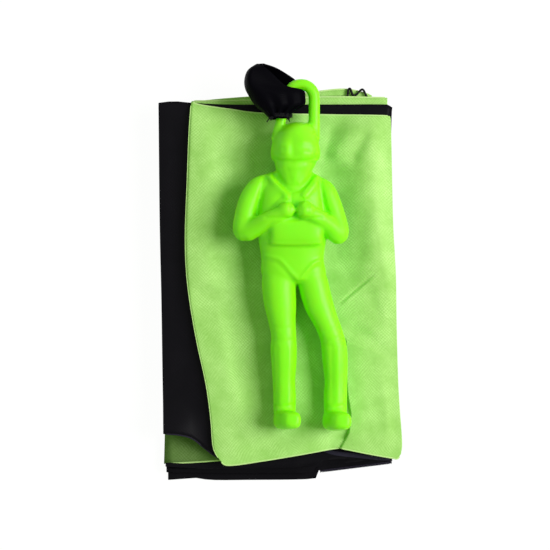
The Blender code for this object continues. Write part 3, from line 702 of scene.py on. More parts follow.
@dataclass(frozen=True)
class Canopy:
    """The eight gores of thin cloth, each folded to and fro across the pack, with the hem and its
    stitches.
    """

    form: PackForm
    cloth: float = 0.0001
    plies: int = 4
    turn_columns: int = 5
    flat_width: float = 0.225
    flat_length: float = 0.176
    flat_area: float = 0.0198
    lap_line: Line = (
        (15.4, -46.5), (15.4, -44.9), (16.5, -42.9), (17.6, -40.6), (18.1, -36.4), (17.7, -33.7), (17.2, -30.6),
        (16.8, -23.7), (16.8, -17.3),
    )
    lap_top: Line = ((14.0, -16.4), (16.8, -17.3), (20.4, -18.8), (24.7, -20.6), (30.0, -22.6))
    lap_rise: float = 0.0005
    lap_groove: float = 0.00095
    crown_rise: float = 0.0007
    crown_fade: tuple[float, float] = (0.12, 0.10)
    hem_loops: int = 27
    tape_line: Line = ((10.4, -45.4), (14.0, -46.5), (20.0, -47.2), (28.2, -48.1))
    seam_line: Line = ((-18.8, 43.2), (-7.3, 44.0), (4.0, 44.9), (10.1, 45.4), (17.6, 45.6))
    stitches: int = 34
    half_stitch: float = 0.00038

    def gores(self) -> list[Gore]:
        """The gores from the bottom up. The side edges run between the ends of the bottom and the top
        edge.
        """
        made = []
        for index, (name, rows) in enumerate(GORE_EDGE_SHARES.items()):
            bottom, top, left, right = (np.array(row).reshape(-1, 2) / GORE_UNIT for row in rows)
            left = np.concatenate([bottom[:1], left, top[:1]])
            right = np.concatenate([bottom[-1:], right, top[-1:]])
            made.append(Gore(name, index, {"bottom": bottom, "top": top, "left": left, "right": right}))
        return made

    @property
    def pitch(self) -> float:
        """From the middle of one ply to the next."""
        return (self.form.gore_depth - self.cloth) / (self.plies - 1)

    def patch(self, gore: Gore, u: Array, v: Array) -> tuple[Array, Array]:
        """Plan places between four bowed edges: each pair of edges is blended, less the corners' own share.

        Args:
            gore: the gore whose edges they are.
            u: shares across.
            v: shares along, of the same shape.

        Returns:
            x and y, of that shape.
        """
        lines = {side: smooth_curve(points, 8) for side, points in gore.edges.items()}
        bottom, top = at_shares(lines["bottom"], u), at_shares(lines["top"], u)
        left, right = at_shares(lines["left"], v), at_shares(lines["right"], v)
        u, v = u[..., None], v[..., None]
        corners = (
            (1 - u) * (1 - v) * lines["bottom"][0] + u * (1 - v) * lines["bottom"][-1]
            + (1 - u) * v * lines["top"][0] + u * v * lines["top"][-1]
        )
        plan = self.form.plan((1 - v) * bottom + v * top + (1 - u) * left + u * right - corners)
        return plan[..., 0], plan[..., 1]

    def fold_columns(self, gore: Gore, plain: Array, top_ply: Array) -> tuple[Array, Array]:
        """The sheet's columns as it goes to and fro: straight plies, joined by half circles at alternate sides.

        In a half circle of radius r the share across is r / width short of the edge plus r / width times the
        sine of the turn, and the ply number grows by half of 1 less the cosine.

        Args:
            gore: the gore that is folded.
            plain: shares across for the hidden plies.
            top_ply: shares across for the ply on top.

        Returns:
            The share across and the ply number, with its fraction in the folds, for each column.
        """
        radius = self.pitch / 2 / self.form.width
        turn = np.linspace(0, math.pi, self.turn_columns + 2)[1:-1]
        arc = 1 - radius + radius * np.sin(turn)
        shares, levels = [], []
        for ply in range(self.plies):
            across = radius + (top_ply if ply == self.plies - 1 else plain) * (1 - 2 * radius)
            to_right = (ply % 2 == 0) == (gore.first_fold is Side.RIGHT)
            shares += [across, arc] if to_right else [across[::-1], 1 - arc]
            levels += [np.full(len(across), float(ply)), ply + (1 - np.cos(turn)) / 2]
        return np.concatenate(shares[:-1]), np.concatenate(levels[:-1])

    def uneven_edges(self, gore: Gore, share: Array, level: Array, v: Array) -> tuple[Array, Array]:
        """Shares across and along once the plies under the top one stop a little short, as in hand folding.

        Args:
            gore: the gore that is folded.
            share: the share across of each column.
            level: the ply number of each column.
            v: the share along of each row.

        Returns:
            Two arrays, rows by columns.
        """
        rng = np.random.default_rng(40 + gore.index)
        insets = []
        for side in Side:
            station = (np.floor(level).astype(int) + (side is not gore.first_fold)) // 2
            count = station.max() + 1
            base = rng.uniform(0.10, 0.55, count)[:, None] * MM
            spans = ((0.05, 0.16), (5, 11), (0, 6))
            size, waves, start = (rng.uniform(*span, count)[:, None] for span in spans)
            reach = (base + size * MM * np.sin(v[None] * waves + start)) / self.form.width
            reach[-1] = 0
            insets.append(reach[station].T)
        ends = rng.uniform(0.10, 0.60, (2, self.plies)) * MM / self.form.length
        ends[:, -1] = 0
        low, high = (np.interp(level, np.arange(self.plies), end) for end in ends)
        u = insets[0] + share[None] * (1 - insets[0] - insets[1])
        return u, low[None] + v[:, None] * (1 - low - high)[None]

    def lap(self, x: Array, y: Array) -> Array:
        """How far the flap's lap stands up: a sharp step right of the lap line and below the lap's upper
        line.
        """
        line, head = np.array(self.lap_line) * MM, np.array(self.lap_top) * MM
        edge = np.interp(y, line[:, 1], line[:, 0])
        beside = smooth_step((x - edge) / (0.40 * MM) + 0.5)
        below = smooth_step((np.interp(x, head[:, 0], head[:, 1]) - y) / (0.9 * MM) + 0.5)
        towards_right = 1 - smooth_step((x - 24 * MM) / (6 * MM))
        shallow = 0.45 + 0.55 * smooth_step((-26 * MM - y) / (8 * MM))
        step = self.lap_rise * beside * (0.35 + 0.65 * towards_right)
        left_of_line = np.clip((edge - x) / (5.5 * MM) - 0.06, 0, 1)
        groove = self.lap_groove * (1 - beside) * (1 - smooth_step(left_of_line)) ** 1.5
        return below * shallow * (step - groove)

    def ceiling(self, x: Array, y: Array) -> Array:
        """The highest level over the flat stack: just under the figure's back, and under its legs' swing
        beside it.
        """
        lower = smooth_step((4 * MM - y) / (10 * MM))
        wide = 3 * MM * lower
        under = smooth_step(1 - (np.abs(x - 3.5 * MM) - 10.5 * MM - wide) / (8 * MM - 1.3 * wide))
        reach = np.interp(y, np.array((-38, -11, -3, 4)) * MM, np.array((30.5, 26.3, 21.3, 18.0)) * MM)
        swept = lower * (1 - smooth_step((x - reach + 1.5 * MM) / (13 * MM)))
        free = 3.8 - 2.8 * swept
        return (free - (free - 0.88) * under) * MM

    def flap_relief(self, x: Array, y: Array, u: Array, v: Array) -> Array:
        """The top gore's own relief: a crown that the figure rests on, soft folds and creases, and the lap.

        Together with the stack's swell it bends over to a level just short of what the figure needs, and it sinks
        no deeper than the plies below give way.
        """
        fade_u, fade_v = self.crown_fade
        inside = smooth_step(np.minimum(u, 1 - u) / fade_u) * smooth_step(np.minimum(v, 1 - v) / fade_v)
        folds = sum(crease.relief(x, y) for crease in FLAP_CREASES)
        swell = self.form.swell(x, y)
        level = swell + (self.crown_rise + folds) * inside + self.lap(x, y)
        soft = 0.10 * MM
        level = -soft * np.logaddexp(-level / soft, -self.ceiling(x, y) / soft)
        lowest = swell - 0.32 * MM
        return soft * np.logaddexp(level / soft, lowest / soft) - swell

    def height(self, gore: Gore, x: Array, y: Array, u: Array, v: Array, level: Array) -> Array:
        """Heights of a gore's cloth in the pack. Its own relief shows most on the top ply.

        Args:
            gore: which gore.
            x: places across the pack.
            y: places along it.
            u: the same places as shares across the gore.
            v: and along it.
            level: the ply numbers there.

        Returns:
            The heights of the cloth's middle surface.
        """
        flat = self.form.floor(gore.index) + self.cloth / 2 + level * self.pitch
        z = self.form.lifted(x, y, flat, hollow=gore.index < Layer.UNDER_FLAP)
        shown = ((level + 1) / self.plies) ** 2
        if gore.index == Layer.FLAP:
            relief = self.flap_relief(x, y, u, v)
            return z + relief * np.where(relief > 0, shown, np.sqrt(shown))
        if gore.index == Layer.UNDER_FLAP:
            return z + self.form.curl(x, y)
        if gore.black:
            return z + sum(pleat.relief(x, y) for pleat in PLEATS) * shown
        return z

    def sheet(self, gore: Gore) -> Surface:
        """One gore's folded sheet, as its middle surface, with the place on the flat cloth at each corner."""
        plain, v = np.linspace(0, 1, 26), np.linspace(0, 1, 72)
        top_ply = plain
        if gore.index == Layer.FLAP:
            plain = np.linspace(0, 1, 14)
            top_ply, v = (np.concatenate([np.linspace(*span) for span in spans]) for spans in FLAP_SPANS)
        share, level = self.fold_columns(gore, plain, top_ply)
        u, along = self.uneven_edges(gore, share, level, v)
        x, y = self.patch(gore, u, along)
        z = self.height(gore, x, y, u, along, level)
        run = np.concatenate([[0], np.cumsum(np.hypot(np.diff(x[len(v) // 2]), self.pitch * np.diff(level)))])
        uv = np.stack([np.broadcast_to(run, x.shape), y], axis=-1)
        return grid_surface(np.stack([x, y, z], axis=-1), uv)

    def build_gore(self, gore: Gore, finish: Material, hem: Material) -> list[Piece]:
        piece = self.sheet(gore).object(f"{gore.name}_cloth")
        modifier(piece, "SOLIDIFY", thickness=self.cloth, offset=0.0)
        fitted(piece, finish, stands_for=(gore.name,))
        hems = [self.edge_hem(gore, edge, hem) for edge in gore.hemmed]
        return [piece, *hems]

    def edge_hem(self, gore: Gore, edge: str, finish: Material) -> Piece:
        """The narrow turned hem on one named edge of a gore: a flat bead along the top ply's edge."""
        # The bead's finish is lighter than the cloth: a painted highlight along the edge.
        run = np.linspace(0.012, 0.988, 200)
        level = np.full(200, float(self.plies - 1))
        u, v = (np.full(200, 0.001), run) if edge == "left" else (run, np.full(200, float(edge == "top")))
        x, y = self.patch(gore, u, v)
        centres = np.column_stack([x, y, self.height(gore, x, y, u, v, level)])
        bead = tube(centres, sideways(centres), 0.00012 if edge == "left" else 0.00020, 0.00009, 10, 2.5)
        return fitted(bead.object(f"{gore.name}_{edge}_hem"), finish)

    def build_hem(self, finish: Material) -> Piece:
        """The overlocked hem: a flat bead along the lowest gore's lower right edge, with thread loops
        over it.
        """
        edge = smooth_curve(self.gores()[0].edges["bottom"], 80)
        plan = self.form.plan(edge[(edge[:, 0] > 0.163) & (edge[:, 0] < 0.4665)])
        share = np.linspace(0, 1, 280)
        run = (plan[-1] - plan[0]) / np.linalg.norm(plan[-1] - plan[0])
        outward = np.array((run[1], -run[0], 0))
        flat = np.full((len(share), 1), 0.00035)
        centres = np.hstack([at_shares(plan, share) + outward[:2] * 0.00025, flat])
        rounded = np.sqrt(np.clip(1 - (2 * share - 1) ** 20, 0.02, 1))
        scallop = 0.80 + 0.20 * np.abs(np.sin(math.pi * self.hem_loops * share))
        across = np.tile(outward, (len(share), 1))
        parts = [tube(centres, across, 0.00044 * scallop * rounded, 0.00027 * rounded, 12, 3.0)]
        turn = np.linspace(0, 2 * math.pi, 15)
        loop = (
            outward * (0.00044 * np.cos(turn))[:, None]
            + np.array(UP) * (0.00029 * np.sin(turn))[:, None]
            + np.array((*run, 0)) * (0.00022 * turn / math.pi - 0.00022)[:, None]
        )
        for place in at_shares(centres, (np.arange(self.hem_loops) + 0.5) / self.hem_loops):
            parts.append(cord_tube(place + loop, 0.00008, 5))
        # Its black is lighter than the black cloth: a painted highlight along the overlocked edge.
        piece = merged(parts).object("skirt_hem_overlock")
        return fitted(piece, finish, stands_for=("skirt_hem",))

    def build_tape(self, finish: Material) -> Piece:
        """The hem tape on the fifth gore's lower right part, above its pleats: its violet grey, lighter than the
        black cloth, is a painted sheen.
        """
        count = 60
        plan = at_shares(smooth_curve(np.array(self.tape_line) * MM, 8), np.linspace(0, 1, count))
        x, y = plan.T
        flat = self.form.floor(Layer.PLEATED) + self.form.gore_depth + 0.00004
        z = self.form.lifted(x, y, np.full(count, flat)) + sum(pleat.relief(x, y) for pleat in PLEATS)
        centres = np.column_stack([plan, z])
        ends = np.sqrt(np.clip(1 - np.abs(np.linspace(-1, 1, count)) ** 8, 0.01, 1))
        bead = tube(centres, sideways(centres), 0.55 * MM * ends, 0.10 * MM * ends, 14, 2.4)
        return fitted(bead.object("hem_tape"), finish)

    def build_stitches(self, finish: Material) -> Piece:
        """The seam at the far end: a row of short stitches on the fourth gore, just inside its upper edge."""
        line = smooth_curve(np.array(self.seam_line) * MM, 10)
        middle = at_shares(line, (np.arange(self.stitches) + 0.5) / self.stitches)
        ahead = np.gradient(middle, axis=0)
        ahead /= np.linalg.norm(ahead, axis=1)[:, None]
        run = np.linspace(-self.half_stitch, self.half_stitch, 6)
        top = self.form.floor(Layer.SEAMED) + self.form.gore_depth + 0.00003
        z = top + 0.00008 * np.cos(run / self.half_stitch * math.pi / 2)
        made = [
            cord_tube(np.column_stack([place + heading * run[:, None], z]), 0.00009, 6)
            for place, heading in zip(middle, ahead)
        ]
        return fitted(merged(made).object("seam_stitches"), finish)

    def build(self) -> list[Piece]:
        """Builds every gore, the hem and the seam."""
        green, green_hem_painted_highlight = GREEN_CLOTH.material(), GREEN_HEM_PAINTED_HIGHLIGHT.material()
        black, black_hem = BLACK_CLOTH.material(), BLACK_HEM_PAINTED_HIGHLIGHT.material()
        over_black = GREEN_SHADE_AND_SHOW_THROUGH.material()
        pieces = []
        for gore in self.gores():
            cloth, hem = (black, black_hem) if gore.black else (green, green_hem_painted_highlight)
            # The gore over the black one takes the cloth with painted shade in its lower left corner.
            if gore.index == Layer.OVER_BLACK:
                cloth = over_black
            pieces.extend(self.build_gore(gore, cloth, hem))
        tape, thread = BLACK_TAPE_PAINTED_SHEEN.material(), GREEN_THREAD.material()
        trims = [self.build_hem(black_hem), self.build_tape(tape), self.build_stitches(thread)]
        return [*pieces, *trims]


# The slack loop's way, in ten-thousandths of the pack's width and length from its middle: x, y, x, y ...
SLACK_ROUTE_SHARES = (
    -160, 4478, 320, 4458, 800, 4468, 1280, 4488, 1770, 4478, 2250, 4468, 2590, 4510, 2740, 4650, 2780, 4830,
    2810, 4985, 2880, 5010, 2940, 4925, 3000, 4845, 3090, 4835, 3220, 4905, 3350, 4985, 3430, 4975, 3500,
    4890, 3570, 4790, 3610, 4640, 3600, 4478,
)


@dataclass(frozen=True)
class ShroudLines:
    """The eight lines: each is stowed in three runs between two gores, then leads to the strap."""

    form: PackForm
    count: int = 8
    run_spacing: float = 0.0021
    hank_length: float = 0.078
    hank_spacing: float = 0.0066
    lead_spacing: float = 0.00095
    lead_bend: float = 0.0012
    lead_fan: float = 0.015
    inside_end: float = 0.0005
    strap_x: float = -0.0014
    rest_floor: float = 0.0100
    point_spacing: float = 0.0009

    def side(self, index: int, spacing: float) -> float:
        """How far to the side of the middle a line lies."""
        return (index - (self.count - 1) / 2) * spacing

    def hank(self, index: int, x: float, top: float) -> Array:
        """A line's three runs in the pack, joined by half circles: up, down and up again, each a little wavy.

        Args:
            index: which line, from the left.
            x: where its middle run lies.
            top: the hank's upper end.

        Returns:
            Plan points.
        """
        radius = self.run_spacing / 2
        low, high = top - self.hank_length + radius + 0.0004, top - radius - 0.0004
        turn = np.linspace(0, math.pi, 9)[1:-1]
        up = np.linspace(low, high, 14)
        sway = 0.00012 * np.sin(up / 0.0063 + 1.7 * index)
        return np.concatenate([
            np.column_stack([x - self.run_spacing + sway, up]),
            np.column_stack([x - radius - radius * np.cos(turn), high + radius * np.sin(turn)]),
            np.column_stack([x + 0.8 * sway[::-1], up[::-1]]),
            np.column_stack([x + radius - radius * np.cos(turn), low - radius * np.sin(turn)]),
            np.column_stack([x + self.run_spacing - sway, up])[:-1],
        ])

    def route(self, index: int) -> Array:
        """One line's middle, in evenly spaced points: its hank, then in with its neighbours, out and up."""
        x = self.side(index, self.hank_spacing)
        end_x = self.strap_x + self.side(index, self.lead_spacing)
        end_y = self.form.end_y - self.inside_end
        top, bend_y = end_y - self.lead_fan, end_y - self.lead_bend
        share, start_y = np.linspace(0, 1, 12), top + 0.0012
        fan = np.column_stack([x + (end_x - x) * smooth_step(share), start_y + (bend_y - start_y) * share])
        plan = np.concatenate([self.hank(index, x, top), fan[1:]])
        height = self.form.floor(self.form.lines_above) - self.form.gap - self.form.line_diameter / 2
        z = self.form.lifted(*plan.T, np.full(len(plan), height), hollow=True)
        stowed = np.column_stack([plan, z])
        arc = np.linspace(0, math.pi / 2, 6)[1:]
        climb_z = stowed[-1, 2] + self.lead_bend * (1 - np.cos(arc))
        bend = np.column_stack([np.full(5, end_x), bend_y + self.lead_bend * np.sin(arc), climb_z])
        rise = np.linspace(climb_z[-1], self.rest_floor, 5)[1:]
        out = 0.0009 * np.sin(np.linspace(0, math.pi / 2, 5)[1:]) ** 2
        climb = np.column_stack([np.full(4, end_x), end_y + out, rise])
        whole = smooth_curve(np.concatenate([stowed, bend, climb]), 4)
        return at_shares(whole, np.linspace(0, 1, int(length_along(whole)[-1] / self.point_spacing)))

    def slack_route(self) -> Array:
        """The slack loop at the pack's corner, between the fourth and the sixth gore."""
        plan = self.form.plan(smooth_curve(np.array(SLACK_ROUTE_SHARES).reshape(-1, 2) / GORE_UNIT, 6))
        level = self.form.floor(Layer.PLEATED) + self.form.gore_depth / 2
        z = self.form.lifted(*plan.T, np.full(len(plan), level))
        return at_shares(np.column_stack([plan, z]), np.linspace(0, 1, 150))

    def build_line(self, name: str, path: Array, nodes: tuple[str, ...], finish: Material) -> Piece:
        """Makes one cord along its path."""
        piece = cord_tube(path, self.form.line_diameter / 2).object(name)
        fitted(piece, finish, stands_for=nodes)
        return piece

    def build(self) -> list[Piece]:
        """Builds the eight lines and the slack loop."""
        finish = BLACK_CORD.material()
        ways = [
            (f"line_{number}", self.route(number - 1), (f"shroud_line_{number}", f"line_lead_{number}"))
            for number in range(1, self.count + 1)
        ]
        ways.append(("line_slack_loop", self.slack_route(), ("line_slack",)))
        return [self.build_line(name, path, nodes, finish) for name, path, nodes in ways]


@dataclass(frozen=True)
class RiserStrap:
    """The black ribbon that goes round the ring's left leg, gathered and bound at its lower end.

    Its left fold and the right edges of its two plies are plan points in millimetres, from the gathers up.
    """

    floor: float = 0.0100
    depth: float = 0.0100
    ribbon: float = 0.00045
    left: Line = (
        (-2.6, 39.2), (-4.3, 41.0), (-6.3, 42.6), (-7.6, 44.5), (-8.8, 46.8), (-9.0, 49.0),
        (-8.2, 51.3), (-6.0, 52.9),
    )
    front: Line = (
        (2.1, 39.0), (2.4, 40.4), (4.2, 41.8), (6.1, 42.9), (6.3, 44.4), (6.1, 45.9), (4.6, 46.6), (2.8, 46.9),
        (0.8, 47.7), (-2.2, 50.4), (-4.9, 52.8),
    )
    back: Line = (
        (2.1, 39.0), (2.4, 40.4), (4.2, 41.8), (6.1, 42.9), (6.3, 44.4), (5.9, 46.1), (5.0, 47.4), (3.6, 49.2),
        (0.9, 51.0), (-1.4, 52.2), (-4.2, 53.1),
    )
    tails: tuple[Line, ...] = (
        ((-1.9, 39.6, 18.6), (-2.5, 39.3, 19.2), (-3.0, 38.8, 19.3), (-3.5, 38.1, 19.0)),
        ((1.2, 39.6, 18.8), (1.7, 39.3, 19.4), (2.0, 38.8, 19.8), (2.3, 38.2, 20.2)),
        ((-1.5, 39.6, 18.7), (-2.2, 39.1, 19.3), (-2.5, 38.8, 19.5), (-2.4, 38.5, 19.4)),
    )
    wire_height: float = 0.01632
    wire_room: float = 0.0022
    fold: float = 0.16
    gathers: int = 9
    bar_half: float = 4.4

    def sheet(self) -> Surface:
        """The ribbon's middle surface: a C across, open to the right, whose size follows the outline up the loop.

        Across, the first third is the back ply, the middle a half ellipse round the left fold, and the rest the
        front ply. Gathers are waves across it that die away upwards, and the plies close at the top.
        """
        share = np.linspace(0, 1, 90)
        left, front, back = (
            at_shares(smooth_curve(np.array(line) * MM, 8), share)[:, None]
            for line in (self.left, self.front, self.back)
        )
        v = share[:, None]
        ply, nose = 34, 26
        close = np.sqrt(np.clip(1 - np.clip((v - 0.70) / 0.30, 0, 1) ** 2.2, 0, 1))
        neck = smooth_step(v / 0.30)
        middle = self.floor + (0.52 + 0.05 * neck) * self.depth
        half = (0.34 + 0.10 * neck) * self.depth * (0.12 + 0.88 * close)
        turn = np.linspace(0, math.pi, nose + 2)[1:-1]
        plain = np.linspace(1, self.fold, ply)
        run = np.concatenate([plain, self.fold - self.fold * np.sin(turn), plain[::-1]])
        side = np.concatenate([np.full(ply, -1.0), -np.cos(turn), np.full(ply, 1.0)])
        is_front = ((1 + side) / 2)[:, None]
        plan = left + (back * (1 - is_front) + front * is_front - left) * run[:, None]
        towards = np.clip((run - self.fold) / (1 - self.fold), 0, 1) ** 1.3
        reach = half + (np.maximum(self.wire_room, half * 0.1) - half) * towards * (1 - 0.2 * neck)
        z = middle + (self.wire_height - middle) * towards + side * reach
        s = np.linspace(0, 1, len(run))
        fade = (1 - smooth_step(v / 0.62)) ** 1.3
        gathers = np.sin(2 * math.pi * self.gathers * s + 2.5 * v)
        z = z + np.sign(side) * np.abs(side) ** 0.5 * 0.00044 * fade * gathers
        soft = 0.00035 * np.sin(2 * math.pi * (2.2 * s + 1.1 * v) + 0.6) * np.sin(math.pi * v)
        z = z + side * soft * (1 - 0.6 * towards)
        centre_row = np.column_stack([plan[45], z[45]])
        across, along = length_along(centre_row), length_along(left[:, 0])
        uv = np.stack(np.broadcast_arrays(across[None], along[:, None]), axis=-1)
        return grid_surface(np.concatenate([plan, z[..., None]], axis=-1), uv)

    def thread(self) -> Surface:
        """The thread that binds the gathers, and its loose ends."""
        top, low = self.floor + 0.92 * self.depth, self.floor + 0.12 * self.depth
        turns = np.linspace(0, 2 * math.pi * 4, 130)
        cosine, sine = (np.sign(wave) * np.abs(wave) ** 0.7 for wave in (np.cos(turns), np.sin(turns)))
        path = np.column_stack([
            -0.05 * MM + 3.00 * MM * cosine,
            39.8 * MM + 0.10 * MM * np.sin(turns * 0.7) + 0.11 * MM * turns / math.pi - 0.3 * MM,
            (top + low) / 2 + (top - low) / 2 * sine,
        ])
        ends = [cord_tube(smooth_curve(np.array(tail) * MM, 5), 0.00016, 6) for tail in self.tails]
        return merged([cord_tube(path, 0.00013, 6), *ends])

    def bar(self) -> Surface:
        """The sewn bar under the loop in which the eight lines end: a rounded rod along the hinge's own
        axis.
        """
        x = np.linspace(-self.bar_half, self.bar_half, 24) * MM
        radius = 0.00055 * np.sqrt(np.clip(1 - (np.abs(x) / (4.45 * MM)) ** 6, 0.02, 1))
        centres = np.column_stack([x - 1.4 * MM, np.full(24, 47.7 * MM), np.full(24, self.floor)])
        return tube(centres, np.tile((0.0, 1.0, 0.0), (24, 1)), radius, radius, 16)

    def build(self) -> list[Piece]:
        """Builds the ribbon, its thread and the bar that holds the lines."""
        finish = RibbonFinish().material()
        ribbon = self.sheet().object("riser_ribbon")
        modifier(ribbon, "SOLIDIFY", thickness=self.ribbon, offset=0.0)
        fitted(ribbon, finish, "strap", ("riser_strap",))
        thread = fitted(self.thread().object("riser_thread"), BLACK_CORD.material(), "strap")
        bar = fitted(self.bar().object("line_bar"), finish, "strap")
        return [ribbon, thread, bar]


# The figure's forms, in thousandths of its body's height. Below, rows across the body are (down from the
# crown, to the side, half width, half depth, height), a foot's are (height, to the side, down, half width,
# half length) and a limb's (to the side, down, height, radius).
SHARE_UNIT = 1000
BODY_SHARES = {
    "torso": (
        (152, -10, 46, 22, 72), (163, -14, 80, 36, 71), (178, -10, 98, 47, 71), (200, -6, 103, 58, 71),
        (229, -12, 105, 64, 73), (278, -14, 109, 68, 74), (326, -11, 110, 67, 74), (375, -10, 109, 64, 71),
        (414, -10, 103, 60, 67), (446, -9, 101, 58, 64), (479, -6, 105, 56, 61), (497, -2, 92, 50, 58),
        (512, 4, 55, 36, 56),
    ),
    "helmet": (
        (-4, 11, 16, 16, 82), (3, 10, 34, 36, 82), (16, 7, 51, 54, 82), (37, 3, 65, 68, 81),
        (63, 0, 75, 77, 80), (89, 0, 80, 80, 80), (109, 0, 79, 80, 80), (119, 0, 76, 77, 79),
    ),
    "face": (
        (83, 0, 58, 60, 80), (122, 0, 67, 66, 81), (141, -3, 61, 64, 86), (166, -5, 52, 58, 92),
        (185, -5, 41, 48, 100), (201, -6, 29, 36, 107), (215, -7, 12, 18, 112),
    ),
    "left_leg": (
        (460, -50, 48, 46, 59), (498, -52, 56, 54, 59), (531, -53, 55, 55, 58), (586, -49, 52, 52, 56),
        (635, -44, 45, 47, 54), (683, -38, 41, 44, 53), (726, -38, 43, 44, 50), (771, -37, 41, 43, 47),
        (830, -37, 37, 38, 43), (878, -35, 37, 37, 41), (930, -35, 36, 36, 40), (955, -33, 33, 32, 40),
    ),
    "right_leg": (
        (460, 42, 44, 44, 59), (498, 54, 49, 51, 59), (531, 61, 50, 52, 58), (567, 70, 50, 51, 57),
        (612, 85, 48, 49, 56), (657, 106, 43, 46, 54), (700, 121, 41, 44, 52), (735, 126, 42, 44, 50),
        (787, 129, 40, 42, 46), (830, 131, 37, 38, 43), (878, 129, 38, 37, 41), (933, 129, 37, 36, 40),
        (955, 129, 33, 32, 40),
    ),
    "neck": (
        (150, 0, 42, 42, 72), (200, 0, 46, 44, 70),
    ),
    "chest_pack": (
        (310, 2, 78, 22, 115), (320, 2, 86, 36, 118), (366, 1, 86, 37, 116), (382, 0, 83, 27, 111),
        (390, 0, 70, 18, 106),
    ),
}
BODY_POWERS = {
    "torso": 2.6, "helmet": 2.2, "face": 2.6, "left_leg": 2.2, "right_leg": 2.2, "neck": 2.0, "chest_pack": 4.0,
}
FOOT_SHARES = {
    "left_foot": (
        (3, -35, 957, 25, 19), (22, -35, 957, 36, 29), (70, -32, 956, 37, 30), (98, -22, 955, 36, 29),
        (118, -13, 954, 31, 27), (131, -10, 953, 19, 18),
    ),
    "right_foot": (
        (3, 125, 959, 25, 19), (22, 125, 960, 37, 30), (70, 128, 959, 38, 31), (98, 138, 958, 37, 30),
        (118, 147, 957, 33, 28), (131, 151, 956, 20, 19),
    ),
}
LIMB_SHARES = {
    "left_upper_arm": (
        (-70, 185, 76, 22), (-100, 194, 80, 30), (-124, 211, 83, 34), (-147, 248, 85, 35),
        (-160, 297, 87, 36), (-165, 338, 91, 37), (-165, 364, 93, 29), (-164, 379, 94, 12),
    ),
    "left_forearm": (
        (-172, 352, 92, 26), (-155, 346, 96, 35), (-122, 330, 117, 30), (-83, 307, 141, 25),
        (-44, 291, 154, 23),
    ),
    "left_hand": (
        (-58, 293, 154, 14), (-42, 287, 156, 24), (-27, 278, 157, 27), (-17, 268, 155, 21),
        (-12, 262, 153, 10),
    ),
    "right_upper_arm": (
        (56, 191, 76, 22), (78, 202, 80, 29), (97, 220, 83, 33), (111, 252, 85, 34), (127, 303, 87, 35),
        (135, 345, 91, 37), (136, 373, 93, 30), (136, 389, 94, 12),
    ),
    "right_forearm": (
        (148, 362, 92, 26), (131, 351, 96, 35), (106, 326, 117, 30), (73, 304, 141, 26), (44, 289, 155, 24),
    ),
    "right_hand": (
        (56, 290, 156, 13), (47, 286, 158, 26), (30, 281, 159, 31), (15, 279, 157, 26), (6, 278, 155, 13),
    ),
    "left_harness": (
        (-80, 172, 92, 14), (-68, 192, 112, 14), (-24, 246, 135, 13),
    ),
    "right_harness": (
        (72, 178, 94, 14), (58, 200, 116, 14), (24, 244, 135, 13),
    ),
    "left_leg_strap": (
        (-84, 434, 94, 12), (-53, 440, 108, 12), (12, 498, 104, 13),
    ),
    "right_leg_strap": (
        (78, 442, 94, 12), (57, 452, 106, 12), (14, 498, 104, 13),
    ),
}
# Lines drawn on the figure from above: how deep each presses the skin in, or with a minus lifts it, and its
# half width, both in hundredths of a millimetre, and then its points as x, y, x, y and so on in tenths.
STROKES = (
    (45, 50, -34, 304, -24, 289, -1, 282, 37, 280, 76, 283, 101, 293), (12, 50, -12, 344, 6, 347, 22, 344),
    (20, 80, 32, 346, 31, 320, 32, 296), (12, 50, 44, 352, 66, 354, 86, 350),
    (-20, 55, -9, 272, 1, 248, 17, 227), (-20, 55, 78, 272, 68, 247, 50, 226),
    (-8, 90, 39, 272, 39, 254, 38, 240), (12, 50, 17, 264, 21, 248, 26, 232),
    (12, 50, 59, 264, 55, 248, 48, 232),
    (50, 45, -26, 272, -17, 249, 4, 222, 32, 204, 60, 220, 81, 247, 92, 270),
    (-34, 80, 4, 322, 15, 321, 15, 303, 5, 304), (-34, 100, 58, 329, 80, 325, 79, 302, 59, 302),
    (-18, 80, 64, 270, 60, 256), (36, 50, -43, 240, -49, 210, -55, 176, -62, 148),
    (40, 55, 99, 240, 105, 206, 112, 168, 122, 150), (-18, 45, -30, 242, -4, 222, 15, 198, 22, 186),
    (-18, 45, 83, 238, 64, 210, 49, 188), (30, 40, 27, 198, 27, 176, 27, 156),
    (26, 45, 2, 195, -12, 180, -26, 166), (18, 45, 50, 194, 66, 186, 80, 174),
    (32, 45, -37, 139, 28, 135, 102, 139), (12, 60, -24, 129, -26, 106, -24, 88),
    (-24, 40, -34, 75, 32, 71, 102, 75), (8, 55, -42, 64, 34, 60, 112, 64),
    (14, 30, 48, 172, 52, 159, 51, 144), (14, 30, 66, 174, 71, 162, 69, 148),
    (-20, 40, -36, 42, -6, 35, 12, 19, 34, -8, 48, -18, 63, 1, 82, 23, 104, 31),
    (15, 50, -44, 32, -12, 24, 5, 10, 26, -16), (15, 50, 69, -11, 89, 12, 112, 21),
    (12, 50, -19, -138, 6, -143, 30, -139), (14, 50, -22, -170, 6, -175, 34, -170),
    (12, 50, 108, -148, 132, -142, 154, -136), (18, 50, 114, -174, 140, -168, 164, -164),
    (12, 40, 118, -188, 142, -184, 166, -178), (14, 50, -10, -190, -9, -260, -10, -330),
    (-14, 55, 24, -190, 22, -260, 20, -330), (16, 45, 129, -186, 131, -260, 132, -332),
    (-14, 50, 146, -195, 146, -260, 146, -332), (26, 45, -23, -336, 9, -341, 40, -335),
    (26, 45, 106, -340, 138, -343, 168, -336),
)


